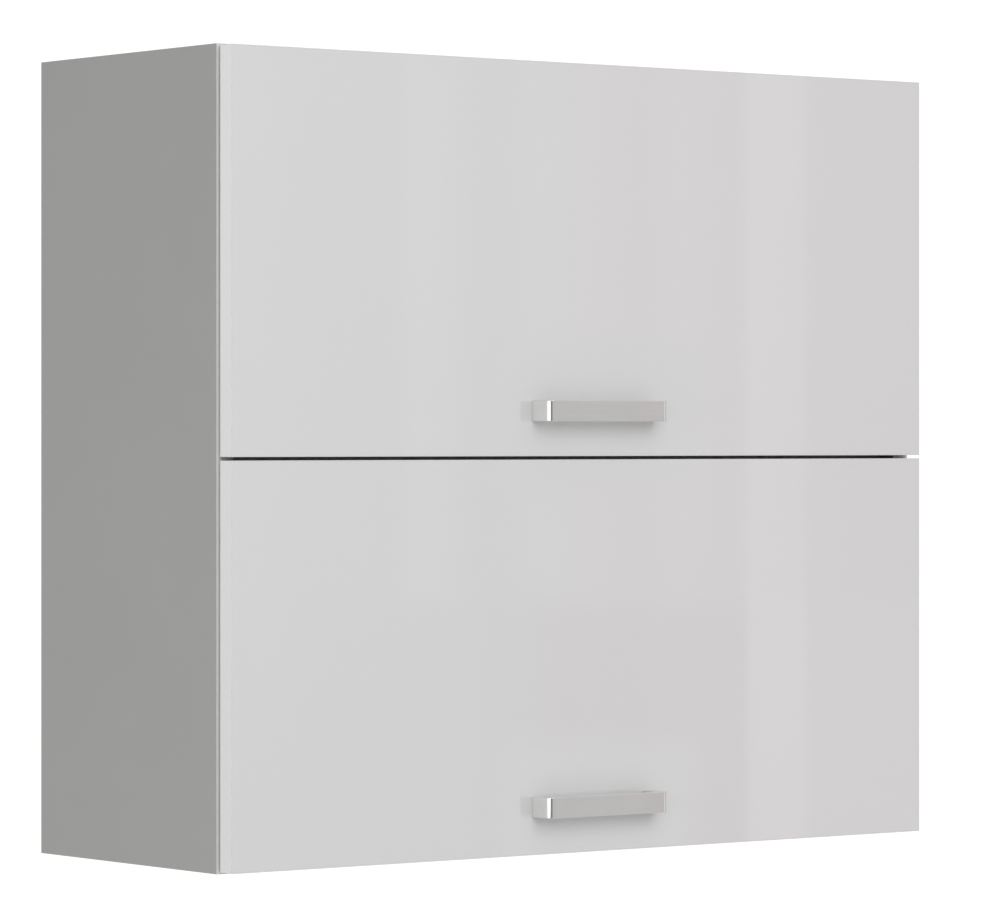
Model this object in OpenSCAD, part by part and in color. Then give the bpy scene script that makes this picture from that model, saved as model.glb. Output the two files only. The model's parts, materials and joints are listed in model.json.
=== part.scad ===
// Kitchen wall cabinet with two lift-up flap fronts, one above the other.
// Millimetres. X runs across the width from the middle, Y from front to back,
// Z up from the underside. The origin is under the middle of the whole object.

/* [Cabinet] */
// Width over the two side panels
cab_w = 800; // [500:1:900]
// Height of the side panels
cab_h = 720; // [640:1:900]
// Depth of the side panels, without the fronts
cab_d = 285; // [270:1:350]
// Thickness of the corpus boards
board_t = 18; // [16:1:19]
// Thickness of the back board
back_t = 3; // [3:0.5:4]
// Free depth behind the back board, for the wall rail
back_void = 15; // [12:1:20]
// How far the middle shelf stands back from the corpus front
shelf_setback = 20; // [16:1:24]
// Thickness of the edge band on the corpus boards
corpus_band_t = 0.8; // [0.5:0.1:1]

/* [Fronts] */
// Thickness of the flap fronts
front_t = 18; // [18:1:19]
// Air between the corpus and a closed front
front_air = 2; // [2:0.1:2.4]
// How far a front stands in from the outer side of the corpus
side_reveal = 2; // [1:0.5:3]
// How far the fronts stand in from the top and the underside
edge_reveal = 1.5; // [1:0.5:2]
// Gap between the two fronts
mid_gap = 3; // [3:0.5:4]
// Thickness of the edge band on the fronts
front_band_t = 1; // [0.8:0.1:1.3]

/* [Handles] */
// Length of a handle over its two feet
handle_len = 142; // [140:1:144]
// Height of the handle strip
handle_h = 19; // [14:1:24]
// How far a handle stands out from its front
handle_out = 24; // [22:1:28]
// Thickness of the handle bar
handle_bar_t = 5; // [4:0.5:6]
// Distance between the two handle screws
handle_pitch = 128; // [128:1:128]
// Height of the upper handle's middle over the lower edge of its front
upper_handle_up = 41; // [30:0.5:60]
// Height of the lower handle's middle over the lower edge of its front
lower_handle_up = 43.5; // [30:0.5:60]

/* [Hinges] */
// Distance of each hinge from the middle of the cabinet
hinge_x = 290; // [180:1:310]
// Diameter of the hinge cup
cup_d = 35; // [35:1:35]
// Depth of the hinge cup
cup_depth = 11.5; // [11:0.5:12]
// Distance of the cup's middle from the edge of the front
cup_edge = 22; // [22:0.5:22.5]
// Radial play of each moving pin in its eye
pin_play = 0.05; // [0.02:0.01:0.1]

/* [Lift units] */
// Length of the lift unit's housing
unit_len = 110; // [104:1:120]
// Height of the lift unit's housing
unit_h = 60; // [50:1:64]
// Thickness of the lift unit's housing base
unit_t = 11; // [10:0.5:11]
// Radial play of the knee pin in the rod's eye
knee_play = 0.4; // [0.3:0.05:0.6]

/* [Hidden] */

$fn = 48;
e = 1;                                             // how far a cutter runs past a face

half_w = cab_w / 2;
in_w = half_w - board_t;                           // inner face of a side panel, from the middle
y_mid = (cab_d - front_air - front_t - handle_out) / 2;
y_back = cab_d - back_void - back_t;               // front face of the back board
groove = 7;                                        // depth of the back board's groove
front_w = cab_w - 2 * side_reveal;
front_h = (cab_h - 2 * edge_reveal - mid_gap) / 2;
y_fb = -front_air;                                 // back face of a front
y_ff = -front_air - front_t;                       // face of a front
low_z0 = edge_reveal;
low_z1 = low_z0 + front_h;
up_z0 = low_z1 + mid_gap;
up_z1 = up_z0 + front_h;
shelf_z = up_z0 - mid_gap / 2 - board_t / 2;       // underside of the middle shelf
top_z = cab_h - board_t;                           // underside of the top panel

// Board joints: heights of the three horizontal boards' middles, and depths of the cams and dowels.
board_mid = [board_t / 2, shelf_z + board_t / 2, cab_h - board_t / 2];
cam_y = [50, 235];
dowel_y = [92, 194];
cam_in = 34;                                       // cam middle from the end of its board
cam_r = 7.5;

// The linkage, in Y and Z measured from the corpus front and from a front's top edge.
A = [16, -36];                                     // pin of the link in the hinge arm
B = [-7.8, -11.3];                                 // pin of the link in the cup
V = [-10, -18.6];                                  // elbow of the link
P = [92, -92];                                     // axle of the lift lever
K = [112, -170];                                   // knee pin between lever and rod
Q = [14, -90];                                     // pin of the rod in the front's bracket
arm_x = 8.2;                                       // half width of the hinge arm
link_x = 6.2;                                      // half width of the hinge link

// Lift unit layers, inward from the side panel.
xl_base = -in_w;
xl_cover = xl_base + unit_t;
xl_lever = xl_cover + 2.2;
xl_rod = xl_lever + 3.5;
xl_ear = xl_rod + 3;

flap_tops = [up_z1, low_z1];
plate_faces = [top_z - up_z1, shelf_z - low_z1];   // boards' undersides, from each front's top edge

// ---- helpers ----
module frame_place() translate([0, -y_mid, 0]) children();

// A sketch of Y and Z, extruded along X from x0.
module along_x(x0, len) translate([x0, 0, 0]) rotate([90, 0, 90]) linear_extrude(len) children();
// A sketch of X and Z, extruded along -Y from y0.
module along_y(y0, len) translate([0, y0, 0]) rotate([90, 0, 0]) linear_extrude(len) children();

module rod_x(x0, x1, y, z, r) along_x(x0, x1 - x0) translate([y, z]) circle(r);
module rod_y(y1, y0, x, z, r) along_y(y1, y1 - y0) translate([x, z]) circle(r);
module rod_z(z0, z1, x, y, r) translate([x, y, z0]) cylinder(r = r, h = z1 - z0);
module block(x0, x1, y0, y1, z0, z1) translate([x0, y0, z0]) cube([x1 - x0, y1 - y0, z1 - z0]);

// A flat bar with round ends, from p to q.
module bar2d(p, q, r) {
    d = q - p;
    translate(p) circle(r);
    translate(q) circle(r);
    translate(p) rotate(atan2(d[1], d[0])) translate([0, -r]) square([norm(d), 2 * r]);
}

module rounded2d(x0, x1, y0, y1, r) {
    translate([x0 + r, y0]) square([x1 - x0 - 2 * r, y1 - y0]);
    translate([x0, y0 + r]) square([x1 - x0, y1 - y0 - 2 * r]);
    for (x = [x0 + r, x1 - r]) for (y = [y0 + r, y1 - r]) translate([x, y]) circle(r);
}

module both_sides() {
    children();
    mirror([1, 0, 0]) children();
}

// ---- corpus ----
module board_bores_in_side() {
    for (z = board_mid) {
        for (y = cam_y) rod_x(-in_w - 11, -in_w + e, y, z, 2.5);
        for (y = dowel_y) rod_x(-in_w - 10, -in_w + e, y, z, 4);
    }
}

module side_panel_left() {
    difference() {
        block(-half_w, -in_w, corpus_band_t, cab_d, 0, cab_h);
        block(-in_w - groove, -in_w + e, y_back, y_back + back_t, board_t - groove, cab_h - board_t + groove);
        board_bores_in_side();
        for (t = flap_tops) for (c = unit_screws) rod_x(-in_w - 12, -in_w + e, c[0], t + c[1], 1.75);
        for (c = hanger_screws) rod_x(-in_w - 12, -in_w + e, c[0], c[1], 1.75);
    }
}
module left_side_panel() color([0.55, 0.55, 0.54]) frame_place() side_panel_left();
module right_side_panel() color([0.55, 0.55, 0.54]) frame_place() mirror([1, 0, 0]) side_panel_left();

// Bores for the cams, their bolts and the dowels in a horizontal board; the cams go in at z0, upwards if up > 0.
module end_bores(zm, z_face, up) {
    both_sides() {
        for (y = cam_y) {
            rod_x(-in_w - e, -in_w + cam_in, y, zm, 4);
            rod_z(min(z_face - up * e, z_face + up * 13.5), max(z_face - up * e, z_face + up * 13.5), -in_w + cam_in, y, cam_r);
        }
        for (y = dowel_y) rod_x(-in_w - e, -in_w + 20, y, zm, 4);
    }
}
module plate_bores(z_face) {
    for (s = [-1, 1]) for (d = [-16, 16]) rod_z(z_face - e, z_face + 11, s * hinge_x + d, 50, 1.75);
}

module top_panel() color([0.55, 0.55, 0.54]) frame_place() difference() {
    block(-in_w, in_w, corpus_band_t, cab_d, top_z, cab_h);
    block(-in_w - e, in_w + e, y_back, y_back + back_t, top_z - e, top_z + groove);
    end_bores(board_mid[2], cab_h, -1);
    plate_bores(top_z);
}
module bottom_panel() color([0.55, 0.55, 0.54]) frame_place() difference() {
    block(-in_w, in_w, corpus_band_t, cab_d, 0, board_t);
    block(-in_w - e, in_w + e, y_back, y_back + back_t, board_t - groove, board_t + e);
    end_bores(board_mid[0], board_t, -1);
}
module middle_shelf() color([0.55, 0.55, 0.54]) frame_place() difference() {
    block(-in_w, in_w, shelf_setback + corpus_band_t, y_back - 0.5, shelf_z, shelf_z + board_t);
    end_bores(board_mid[1], shelf_z, 1);
    plate_bores(shelf_z);
}
module back_panel() color([0.62, 0.62, 0.60]) frame_place() difference() {
    block(-in_w - groove, in_w + groove, y_back, y_back + back_t, board_t - groove, cab_h - board_t + groove);
    both_sides() block(-in_w + 2, -in_w + 24, y_back - e, y_back + back_t + e, hang_z - 32, hang_z + 6);
}
module corpus_edge_bands() color([0.60, 0.60, 0.59]) frame_place() {
    both_sides() block(-half_w, -in_w, 0, corpus_band_t, 0, cab_h);
    block(-in_w, in_w, 0, corpus_band_t, top_z, cab_h);
    block(-in_w, in_w, 0, corpus_band_t, 0, board_t);
    block(-in_w, in_w, shelf_setback, shelf_setback + corpus_band_t, shelf_z, shelf_z + board_t);
}
module wooden_dowels() color([0.80, 0.66, 0.45]) frame_place() both_sides()
    for (z = board_mid) for (y = dowel_y) rod_x(-in_w - 9.5, -in_w + 19.5, y, z, 4);

// Eccentric cam with its cross slot and the mouth for the bolt's head; face up if up < 0.
module cam(y, zm, z_face, up) {
    xc = -in_w + cam_in;
    difference() {
        rod_z(min(z_face + up * 0.3, z_face + up * 12.8), max(z_face + up * 0.3, z_face + up * 12.8), xc, y, cam_r);
        rod_x(xc - 9, xc + 4.5, y, zm, 3.3);
        for (a = [0, 90]) translate([xc, y, z_face + up * 0.3]) rotate(a) cube([8, 1.4, 3.2], center = true);
    }
}
module cam_locks() color([0.72, 0.72, 0.73]) frame_place() both_sides() for (y = cam_y) {
    cam(y, board_mid[0], board_t, -1);
    cam(y, board_mid[1], shelf_z, 1);
    cam(y, board_mid[2], cab_h, -1);
}
module cam_bolts() color([0.70, 0.70, 0.72]) frame_place() both_sides() for (z = board_mid) for (y = cam_y) {
    rod_x(-in_w - 11, -in_w, y, z, 2.5);
    rod_x(-in_w, -in_w + cam_in - 4, y, z, 2);
    rod_x(-in_w + cam_in - 4, -in_w + cam_in + 4, y, z, 3.1);
    rod_x(-in_w, -in_w + 3, y, z, 3.6);
}
module cam_cover_caps() color([0.56, 0.56, 0.55]) frame_place() both_sides() for (y = cam_y) {
    rod_z(board_t, board_t + 1, -in_w + cam_in, y, 8.5);
    rod_z(shelf_z - 1, shelf_z, -in_w + cam_in, y, 8.5);
}

// ---- hinges, on the corpus ----
// Mounting plate under a board whose underside is at zf, measured from the front's top edge.
module hinge_plate(zf) difference() {
    union() {
        translate([0, 50, zf - 2]) linear_extrude(2) bar2d([-16, 0], [16, 0], 7);
        block(-6.8, 6.8, 32, 68, -31, zf);
        block(-9.5, 9.5, 36, 64, zf - 2, zf);
    }
    rod_z(-31 - e, -24, 0, 58, 2.5);
    for (d = [-16, 16]) rod_z(zf - 2 - e, zf + e, d, 50, 1.75);
}
module upper_hinge_plates() color([0.75, 0.75, 0.76]) frame_place() for (s = [-1, 1])
    translate([s * hinge_x, 0, up_z1]) hinge_plate(plate_faces[0]);
module lower_hinge_plates() color([0.75, 0.75, 0.76]) frame_place() for (s = [-1, 1])
    translate([s * hinge_x, 0, low_z1]) hinge_plate(plate_faces[1]);
module hinge_plate_screws() color([0.70, 0.70, 0.72]) frame_place() for (f = [0, 1]) for (s = [-1, 1]) for (d = [-16, 16])
    translate([s * hinge_x + d, 50, flap_tops[f] + plate_faces[f]]) {
        rod_z(-2, 10.5, 0, 0, 1.75);
        rod_z(-3.6, -2, 0, 0, 3.6);
    }

module hinge_arm() difference() {
    union() {
        for (x = [-arm_x, arm_x - 1.2]) along_x(x, 1.2) {
            polygon([[16, -41], [22, -41.5], [72, -41.5], [72, -30], [30, -28], [16, -31]]);
            translate(A) circle(5);
        }
        block(-arm_x, arm_x, 24, 72, -41.5, -40.3);
    }
    rod_x(-arm_x - e, arm_x + e, A[0], A[1], 2);
    rod_z(-43, -39, 0, 58, 2.6);
    rod_z(-43, -39, 0, 40, 2.1);
}
module at_hinges() for (t = flap_tops) for (s = [-1, 1]) translate([s * hinge_x, 0, t]) children();

module hinge_arms() color([0.77, 0.77, 0.78]) frame_place() at_hinges() hinge_arm();
module hinge_arm_pins() color([0.66, 0.66, 0.68]) frame_place() at_hinges() rod_x(-arm_x, arm_x, A[0], A[1], 2);
module hinge_clamp_screws() color([0.70, 0.70, 0.72]) frame_place() at_hinges() difference() {
    union() {
        rod_z(-41.5, -24.2, 0, 58, 2.5);
        rod_z(-44, -41.5, 0, 58, 5);
    }
    for (a = [0, 90]) translate([0, 58, -44]) rotate(a) cube([6, 1.2, 3], center = true);
}
module hinge_adjusting_screws() color([0.70, 0.70, 0.72]) frame_place() at_hinges() difference() {
    union() {
        rod_z(-41.5, -31.2, 0, 40, 2);
        rod_z(-43.2, -41.5, 0, 40, 3.4);
    }
    for (a = [0, 90]) translate([0, 40, -43.2]) rotate(a) cube([4.4, 1, 2], center = true);
}

// The link: a cranked strap with an eye at each end.
module hinge_link() along_x(-link_x, 2 * link_x) difference() {
    union() {
        translate(A) circle(4.2);
        translate(B) circle(2.9);
        bar2d(A, V, 1.3);
        bar2d(V, B, 1.3);
    }
    translate(A) circle(2 + pin_play);
    translate(B) circle(1.5 + pin_play);
}
module hinge_links_at(t) for (s = [-1, 1]) translate([s * hinge_x, 0, t]) hinge_link();
module upper_hinge_links() color([0.73, 0.73, 0.75]) frame_place() hinge_links_at(up_z1);
module lower_hinge_links() color([0.73, 0.73, 0.75]) frame_place() hinge_links_at(low_z1);

// ---- hinges, on the fronts ----
cup_r = cup_d / 2;
ear_z = -cup_edge - 6;
module hinge_cup() difference() {
    union() {
        difference() {
            rod_y(y_fb, y_fb - cup_depth, 0, -cup_edge, cup_r);
            rod_y(y_fb + e, y_fb - cup_depth + 1, 0, -cup_edge, cup_r - 1.2);
        }
        // cheeks that hold the pin
        intersection() {
            rod_y(y_fb, y_fb - cup_depth + 0.5, 0, -cup_edge, cup_r - 0.8);
            for (x = [-10, 7.2]) block(x, x + 2.8, y_fb - cup_depth, B[0] + 3.4, B[1] - 4.5, B[1] + 8);
        }
        // flange with two screw ears
        for (s = [-1, 1]) along_y(y_fb + 1, 1) difference() {
            bar2d([s * 15, ear_z], [s * 24, ear_z], 5.5);
            translate([0, -cup_edge]) circle(cup_r - 1.2);
        }
    }
    rod_x(-20, 20, B[0], B[1], 1.5);
    for (s = [-1, 1]) rod_y(y_fb + 2, y_fb - 2, s * 24, ear_z, 1.75);
}
module hinge_cups_at(t) for (s = [-1, 1]) translate([s * hinge_x, 0, t]) hinge_cup();
module cup_pins_at(t) for (s = [-1, 1]) translate([s * hinge_x, 0, t]) rod_x(-10, 10, B[0], B[1], 1.5);
module cup_screws_at(t) for (s = [-1, 1]) for (d = [-24, 24]) translate([s * hinge_x + d, 0, t + ear_z]) {
    rod_y(y_fb + 1, y_fb - 12, 0, 0, 1.75);
    rod_y(y_fb + 1.9, y_fb + 1, 0, 0, 3.4);
}
module upper_hinge_cups() color([0.75, 0.75, 0.76]) frame_place() hinge_cups_at(up_z1);
module lower_hinge_cups() color([0.75, 0.75, 0.76]) frame_place() hinge_cups_at(low_z1);
module upper_hinge_cup_pins() color([0.66, 0.66, 0.68]) frame_place() cup_pins_at(up_z1);
module lower_hinge_cup_pins() color([0.66, 0.66, 0.68]) frame_place() cup_pins_at(low_z1);
module upper_hinge_cup_screws() color([0.70, 0.70, 0.72]) frame_place() cup_screws_at(up_z1);
module lower_hinge_cup_screws() color([0.70, 0.70, 0.72]) frame_place() cup_screws_at(low_z1);

// ---- lift units, described for the left side and for one front's top edge ----
unit_y0 = P[0] - 30;
unit_y1 = unit_y0 + unit_len;
unit_z0 = P[1] - unit_h / 2;
unit_z1 = P[1] + unit_h / 2;
unit_screws = [[unit_y0 + 7, unit_z0 + 7], [unit_y1 - 7, unit_z1 - 7]];

module unit_outline(inset = 0) rounded2d(unit_y0 + inset, unit_y1 - inset, unit_z0 + inset, unit_z1 - inset, 5);

module unit_base() difference() {
    union() {
        difference() {
            along_x(xl_base, unit_t) unit_outline();
            along_x(xl_base + 2.5, unit_t) unit_outline(2.5);
        }
        rod_x(xl_base + 2, xl_cover - 1, P[0], P[1], 8);
        for (c = unit_screws) rod_x(xl_base + 2, xl_cover, c[0], c[1], 4.8);
    }
    rod_x(xl_base + 2.5, xl_cover + e, P[0], P[1], 4 + pin_play);
    for (c = unit_screws) rod_x(xl_base - e, xl_cover + e, c[0], c[1], 1.75);
}
module unit_cover() along_x(xl_cover, 1.5) difference() {
    unit_outline();
    translate(P) circle(4.4);
    for (c = unit_screws) translate(c) circle(1.75);
}
module unit_spring() for (z = [P[1] - 11, P[1] + 11]) along_y(unit_y1 - 5, unit_y1 - 5 - (P[0] + 10)) difference() {
    translate([xl_base + 6.6, z]) circle(3.7);
    translate([xl_base + 6.6, z]) circle(2.5);
}
module at_flap_tops() for (t = flap_tops) translate([0, 0, t]) children();

module lift_unit_bases() color([0.50, 0.50, 0.50]) frame_place() both_sides() at_flap_tops() unit_base();
module lift_unit_covers() color([0.56, 0.56, 0.56]) frame_place() both_sides() at_flap_tops() unit_cover();
module lift_unit_springs() color([0.60, 0.60, 0.62]) frame_place() both_sides() at_flap_tops() unit_spring();
module lift_unit_screws() color([0.70, 0.70, 0.72]) frame_place() both_sides() at_flap_tops() for (c = unit_screws) {
    rod_x(xl_base - 11.5, xl_cover + 1.5, c[0], c[1], 1.75);
    rod_x(xl_cover + 1.5, xl_cover + 1.9, c[0], c[1], 3.4);
}

module lift_lever() along_x(xl_lever, 3) difference() {
    bar2d(P, K, 7);
    translate(P) circle(4);
    translate(K) circle(3);
}
module lift_axle() rod_x(xl_base + 3, xl_lever + 3, P[0], P[1], 4);
module knee_pin() {
    rod_x(xl_lever, xl_rod + 3, K[0], K[1], 3);
    rod_x(xl_rod + 3, xl_rod + 4, K[0], K[1], 4.5);
}
module lift_rod() along_x(xl_rod, 2.5) difference() {
    bar2d(K, Q, 5.5);
    translate(K) circle(3 + knee_play);
    translate(Q) circle(3 + pin_play);
}
module lift_bracket() difference() {
    union() {
        along_x(xl_ear, 2.5) {
            polygon([[y_fb + 0.5, -70], [y_fb + 0.5, -110], [Q[0], Q[1] - 7], [Q[0], Q[1] + 7]]);
            translate(Q) circle(7);
        }
        block(xl_ear, xl_ear + 18.5, y_fb, y_fb + 1.5, -112, -68);
    }
    rod_x(xl_ear - e, xl_ear + 4, Q[0], Q[1], 3);
    for (z = bracket_screw_z) rod_y(y_fb + 3, y_fb - e, xl_ear + 11.5, z, 1.75);
}
bracket_screw_z = [-76, -104];
module lift_bracket_pin() {
    rod_x(xl_rod - 0.2, xl_ear + 2.5, Q[0], Q[1], 3);
    rod_x(xl_rod - 1.3, xl_rod - 0.2, Q[0], Q[1], 4.4);
}
module lift_bracket_screw(z) {
    rod_y(y_fb + 1.5, y_fb - 12, xl_ear + 11.5, z, 1.75);
    rod_y(y_fb + 3, y_fb + 1.5, xl_ear + 11.5, z, 3.4);
}
module up() frame_place() both_sides() translate([0, 0, up_z1]) children();
module low() frame_place() both_sides() translate([0, 0, low_z1]) children();

module upper_lift_levers() color([0.72, 0.72, 0.74]) up() lift_lever();
module lower_lift_levers() color([0.72, 0.72, 0.74]) low() lift_lever();
module upper_lift_axles() color([0.66, 0.66, 0.68]) up() lift_axle();
module lower_lift_axles() color([0.66, 0.66, 0.68]) low() lift_axle();
module upper_knee_pins() color([0.66, 0.66, 0.68]) up() knee_pin();
module lower_knee_pins() color([0.66, 0.66, 0.68]) low() knee_pin();
module upper_lift_rods() color([0.74, 0.74, 0.76]) up() lift_rod();
module lower_lift_rods() color([0.74, 0.74, 0.76]) low() lift_rod();
module upper_lift_brackets() color([0.75, 0.75, 0.76]) up() lift_bracket();
module lower_lift_brackets() color([0.75, 0.75, 0.76]) low() lift_bracket();
module upper_lift_bracket_pins() color([0.66, 0.66, 0.68]) up() lift_bracket_pin();
module lower_lift_bracket_pins() color([0.66, 0.66, 0.68]) low() lift_bracket_pin();
module upper_lift_bracket_screws() color([0.70, 0.70, 0.72]) up() for (z = bracket_screw_z) lift_bracket_screw(z);
module lower_lift_bracket_screws() color([0.70, 0.70, 0.72]) low() for (z = bracket_screw_z) lift_bracket_screw(z);

// ---- hangers, at the top corners in front of the back board ----
hang_z = cab_h - 30;                               // top of the hook
hang_x0 = -in_w;
hang_w = 26;
hang_y0 = y_back - 37;
hanger_screws = [[hang_y0 + 13, hang_z - 40], [hang_y0 + 13, hang_z - 2]];
hang_adj_z = [hang_z - 33, hang_z - 10];

module hanger_housing() difference() {
    block(hang_x0, hang_x0 + hang_w, hang_y0, y_back - 0.2, hang_z - 50, hang_z + 8);
    block(hang_x0 + 3, hang_x0 + hang_w - 3, hang_y0 + 3, y_back + e, hang_z - 47, hang_z + 5);
    for (z = hang_adj_z) rod_y(hang_y0 + 5, hang_y0 - e, hang_x0 + 13, z, 3.1);
    for (c = hanger_screws) rod_x(hang_x0 - e, hang_x0 + 4, c[0], c[1], 1.75);
}
module hanger_hook() along_x(hang_x0 + 6, 14) polygon([
    [y_back - 17, hang_z - 44], [y_back - 14.5, hang_z - 44], [y_back - 14.5, hang_z - 2.5],
    [cab_d - 4.5, hang_z - 2.5], [cab_d - 4.5, hang_z - 24], [cab_d - 2, hang_z - 24],
    [cab_d - 2, hang_z], [y_back - 17, hang_z]]);
module hanger_adjusters() for (z = hang_adj_z) {
    rod_y(y_back - 17.4, hang_y0, hang_x0 + 13, z, 3);
    difference() {
        rod_y(hang_y0, hang_y0 - 2, hang_x0 + 13, z, 4.6);
        for (a = [0, 90]) translate([hang_x0 + 13, hang_y0 - 2, z]) rotate([0, a, 0]) cube([6, 2.4, 1.2], center = true);
    }
}
module hanger_fixers() for (c = hanger_screws) {
    rod_x(hang_x0 - 11.5, hang_x0 + 3, c[0], c[1], 1.75);
    rod_x(hang_x0 + 3, hang_x0 + 4.5, c[0], c[1], 3.2);
}
module hanger_housings() color([0.88, 0.88, 0.87]) frame_place() both_sides() hanger_housing();
module hanger_hooks() color([0.75, 0.75, 0.76]) frame_place() both_sides() hanger_hook();
module hanger_adjusting_screws() color([0.70, 0.70, 0.72]) frame_place() both_sides() hanger_adjusters();
module hanger_fixing_screws() color([0.70, 0.70, 0.72]) frame_place() both_sides() hanger_fixers();

// ---- fronts ----
module front_board(z0, z1, hz) difference() {
    block(-front_w / 2 + front_band_t, front_w / 2 - front_band_t, y_ff, y_fb, z0 + front_band_t, z1 - front_band_t);
    for (s = [-1, 1]) {
        rod_y(y_fb + e, y_ff - e, s * handle_pitch / 2, hz, 2.5);
        rod_y(y_fb + e, y_fb - cup_depth, s * hinge_x, z1 - cup_edge, cup_r);
        for (d = [-24, 24]) rod_y(y_fb + e, y_fb - 12.5, s * hinge_x + d, z1 + ear_z, 1.75);
        for (z = bracket_screw_z) rod_y(y_fb + e, y_fb - 12.5, s * (xl_ear + 11.5), z1 + z, 1.75);
    }
}
module front_bands(z0, z1) {
    both_sides() block(-front_w / 2, -front_w / 2 + front_band_t, y_ff, y_fb, z0, z1);
    for (z = [z0, z1 - front_band_t])
        block(-front_w / 2 + front_band_t, front_w / 2 - front_band_t, y_ff, y_fb, z, z + front_band_t);
}
upper_hz = up_z0 + upper_handle_up;
lower_hz = low_z0 + lower_handle_up;
module upper_front() color([0.84, 0.84, 0.84]) frame_place() front_board(up_z0, up_z1, upper_hz);
module lower_front() color([0.84, 0.84, 0.84]) frame_place() front_board(low_z0, low_z1, lower_hz);
module upper_front_edge_bands() color([0.82, 0.82, 0.82]) frame_place() front_bands(up_z0, up_z1);
module lower_front_edge_bands() color([0.82, 0.82, 0.82]) frame_place() front_bands(low_z0, low_z1);

// Small clear buffers between the lower corners of a front and the side panels.
module buffers(z0) both_sides() rod_y(y_fb + 1.5, y_fb, -half_w + 9, z0 + 14, 4);
module upper_front_buffers() color([0.90, 0.90, 0.90]) frame_place() buffers(up_z0);
module lower_front_buffers() color([0.90, 0.90, 0.90]) frame_place() buffers(low_z0);

// ---- handles: a flat bow on two feet that lean in a little ----
module handle_outline() {
    l = handle_len / 2;
    yo = y_ff - handle_out;
    polygon([[-l, y_ff], [-l + 2.5, yo + 6], [-l + 8.5, yo], [l - 8.5, yo], [l - 2.5, yo + 6], [l, y_ff]]);
    for (s = [-1, 1]) translate([s * (l - 8.5), yo + 6]) circle(6);
}
module handle_gap_outline() {
    l = handle_len / 2;
    yi = y_ff - handle_out + handle_bar_t;
    polygon([[-l + 14, y_ff + e], [-l + 11, yi + 4], [-l + 15, yi], [l - 15, yi], [l - 11, yi + 4], [l - 14, y_ff + e]]);
    for (s = [-1, 1]) translate([s * (l - 15), yi + 4]) circle(4);
}
module handle_at(hz) difference() {
    translate([0, 0, hz - handle_h / 2]) linear_extrude(handle_h) difference() {
        handle_outline();
        handle_gap_outline();
    }
    for (s = [-1, 1]) rod_y(y_ff + e, y_ff - 10, s * handle_pitch / 2, hz, 2);
}
module handle_screws_at(hz) for (s = [-1, 1]) difference() {
    union() {
        rod_y(y_fb, y_ff - 9.5, s * handle_pitch / 2, hz, 2);
        rod_y(y_fb + 2.4, y_fb, s * handle_pitch / 2, hz, 4);
    }
    for (a = [0, 90]) translate([s * handle_pitch / 2, y_fb + 2.4, hz]) rotate([0, a, 0]) cube([5, 2.4, 1.1], center = true);
}
module upper_handle() color([0.80, 0.80, 0.80]) frame_place() handle_at(upper_hz);
module lower_handle() color([0.80, 0.80, 0.80]) frame_place() handle_at(lower_hz);
module upper_handle_screws() color([0.70, 0.70, 0.72]) frame_place() handle_screws_at(upper_hz);
module lower_handle_screws() color([0.70, 0.70, 0.72]) frame_place() handle_screws_at(lower_hz);

left_side_panel();
right_side_panel();
top_panel();
bottom_panel();
middle_shelf();
back_panel();
corpus_edge_bands();
wooden_dowels();
cam_locks();
cam_bolts();
cam_cover_caps();
upper_hinge_plates();
lower_hinge_plates();
hinge_plate_screws();
hinge_arms();
hinge_arm_pins();
hinge_clamp_screws();
hinge_adjusting_screws();
lift_unit_bases();
lift_unit_covers();
lift_unit_springs();
lift_unit_screws();
hanger_housings();
hanger_hooks();
hanger_adjusting_screws();
hanger_fixing_screws();
upper_front();
upper_front_edge_bands();
upper_handle();
upper_handle_screws();
upper_hinge_cups();
upper_hinge_cup_pins();
upper_hinge_cup_screws();
upper_lift_brackets();
upper_lift_bracket_pins();
upper_lift_bracket_screws();
upper_front_buffers();
lower_front();
lower_front_edge_bands();
lower_handle();
lower_handle_screws();
lower_hinge_cups();
lower_hinge_cup_pins();
lower_hinge_cup_screws();
lower_lift_brackets();
lower_lift_bracket_pins();
lower_lift_bracket_screws();
lower_front_buffers();
upper_hinge_links();
lower_hinge_links();
upper_lift_levers();
upper_lift_axles();
upper_knee_pins();
upper_lift_rods();
lower_lift_levers();
lower_lift_axles();
lower_knee_pins();
lower_lift_rods();
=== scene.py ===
"""Kitchen wall cabinet with two lift-up flaps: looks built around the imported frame."""

import json
import math

import bmesh
import bpy
import numpy as np
from mathutils import Matrix, Vector


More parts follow.
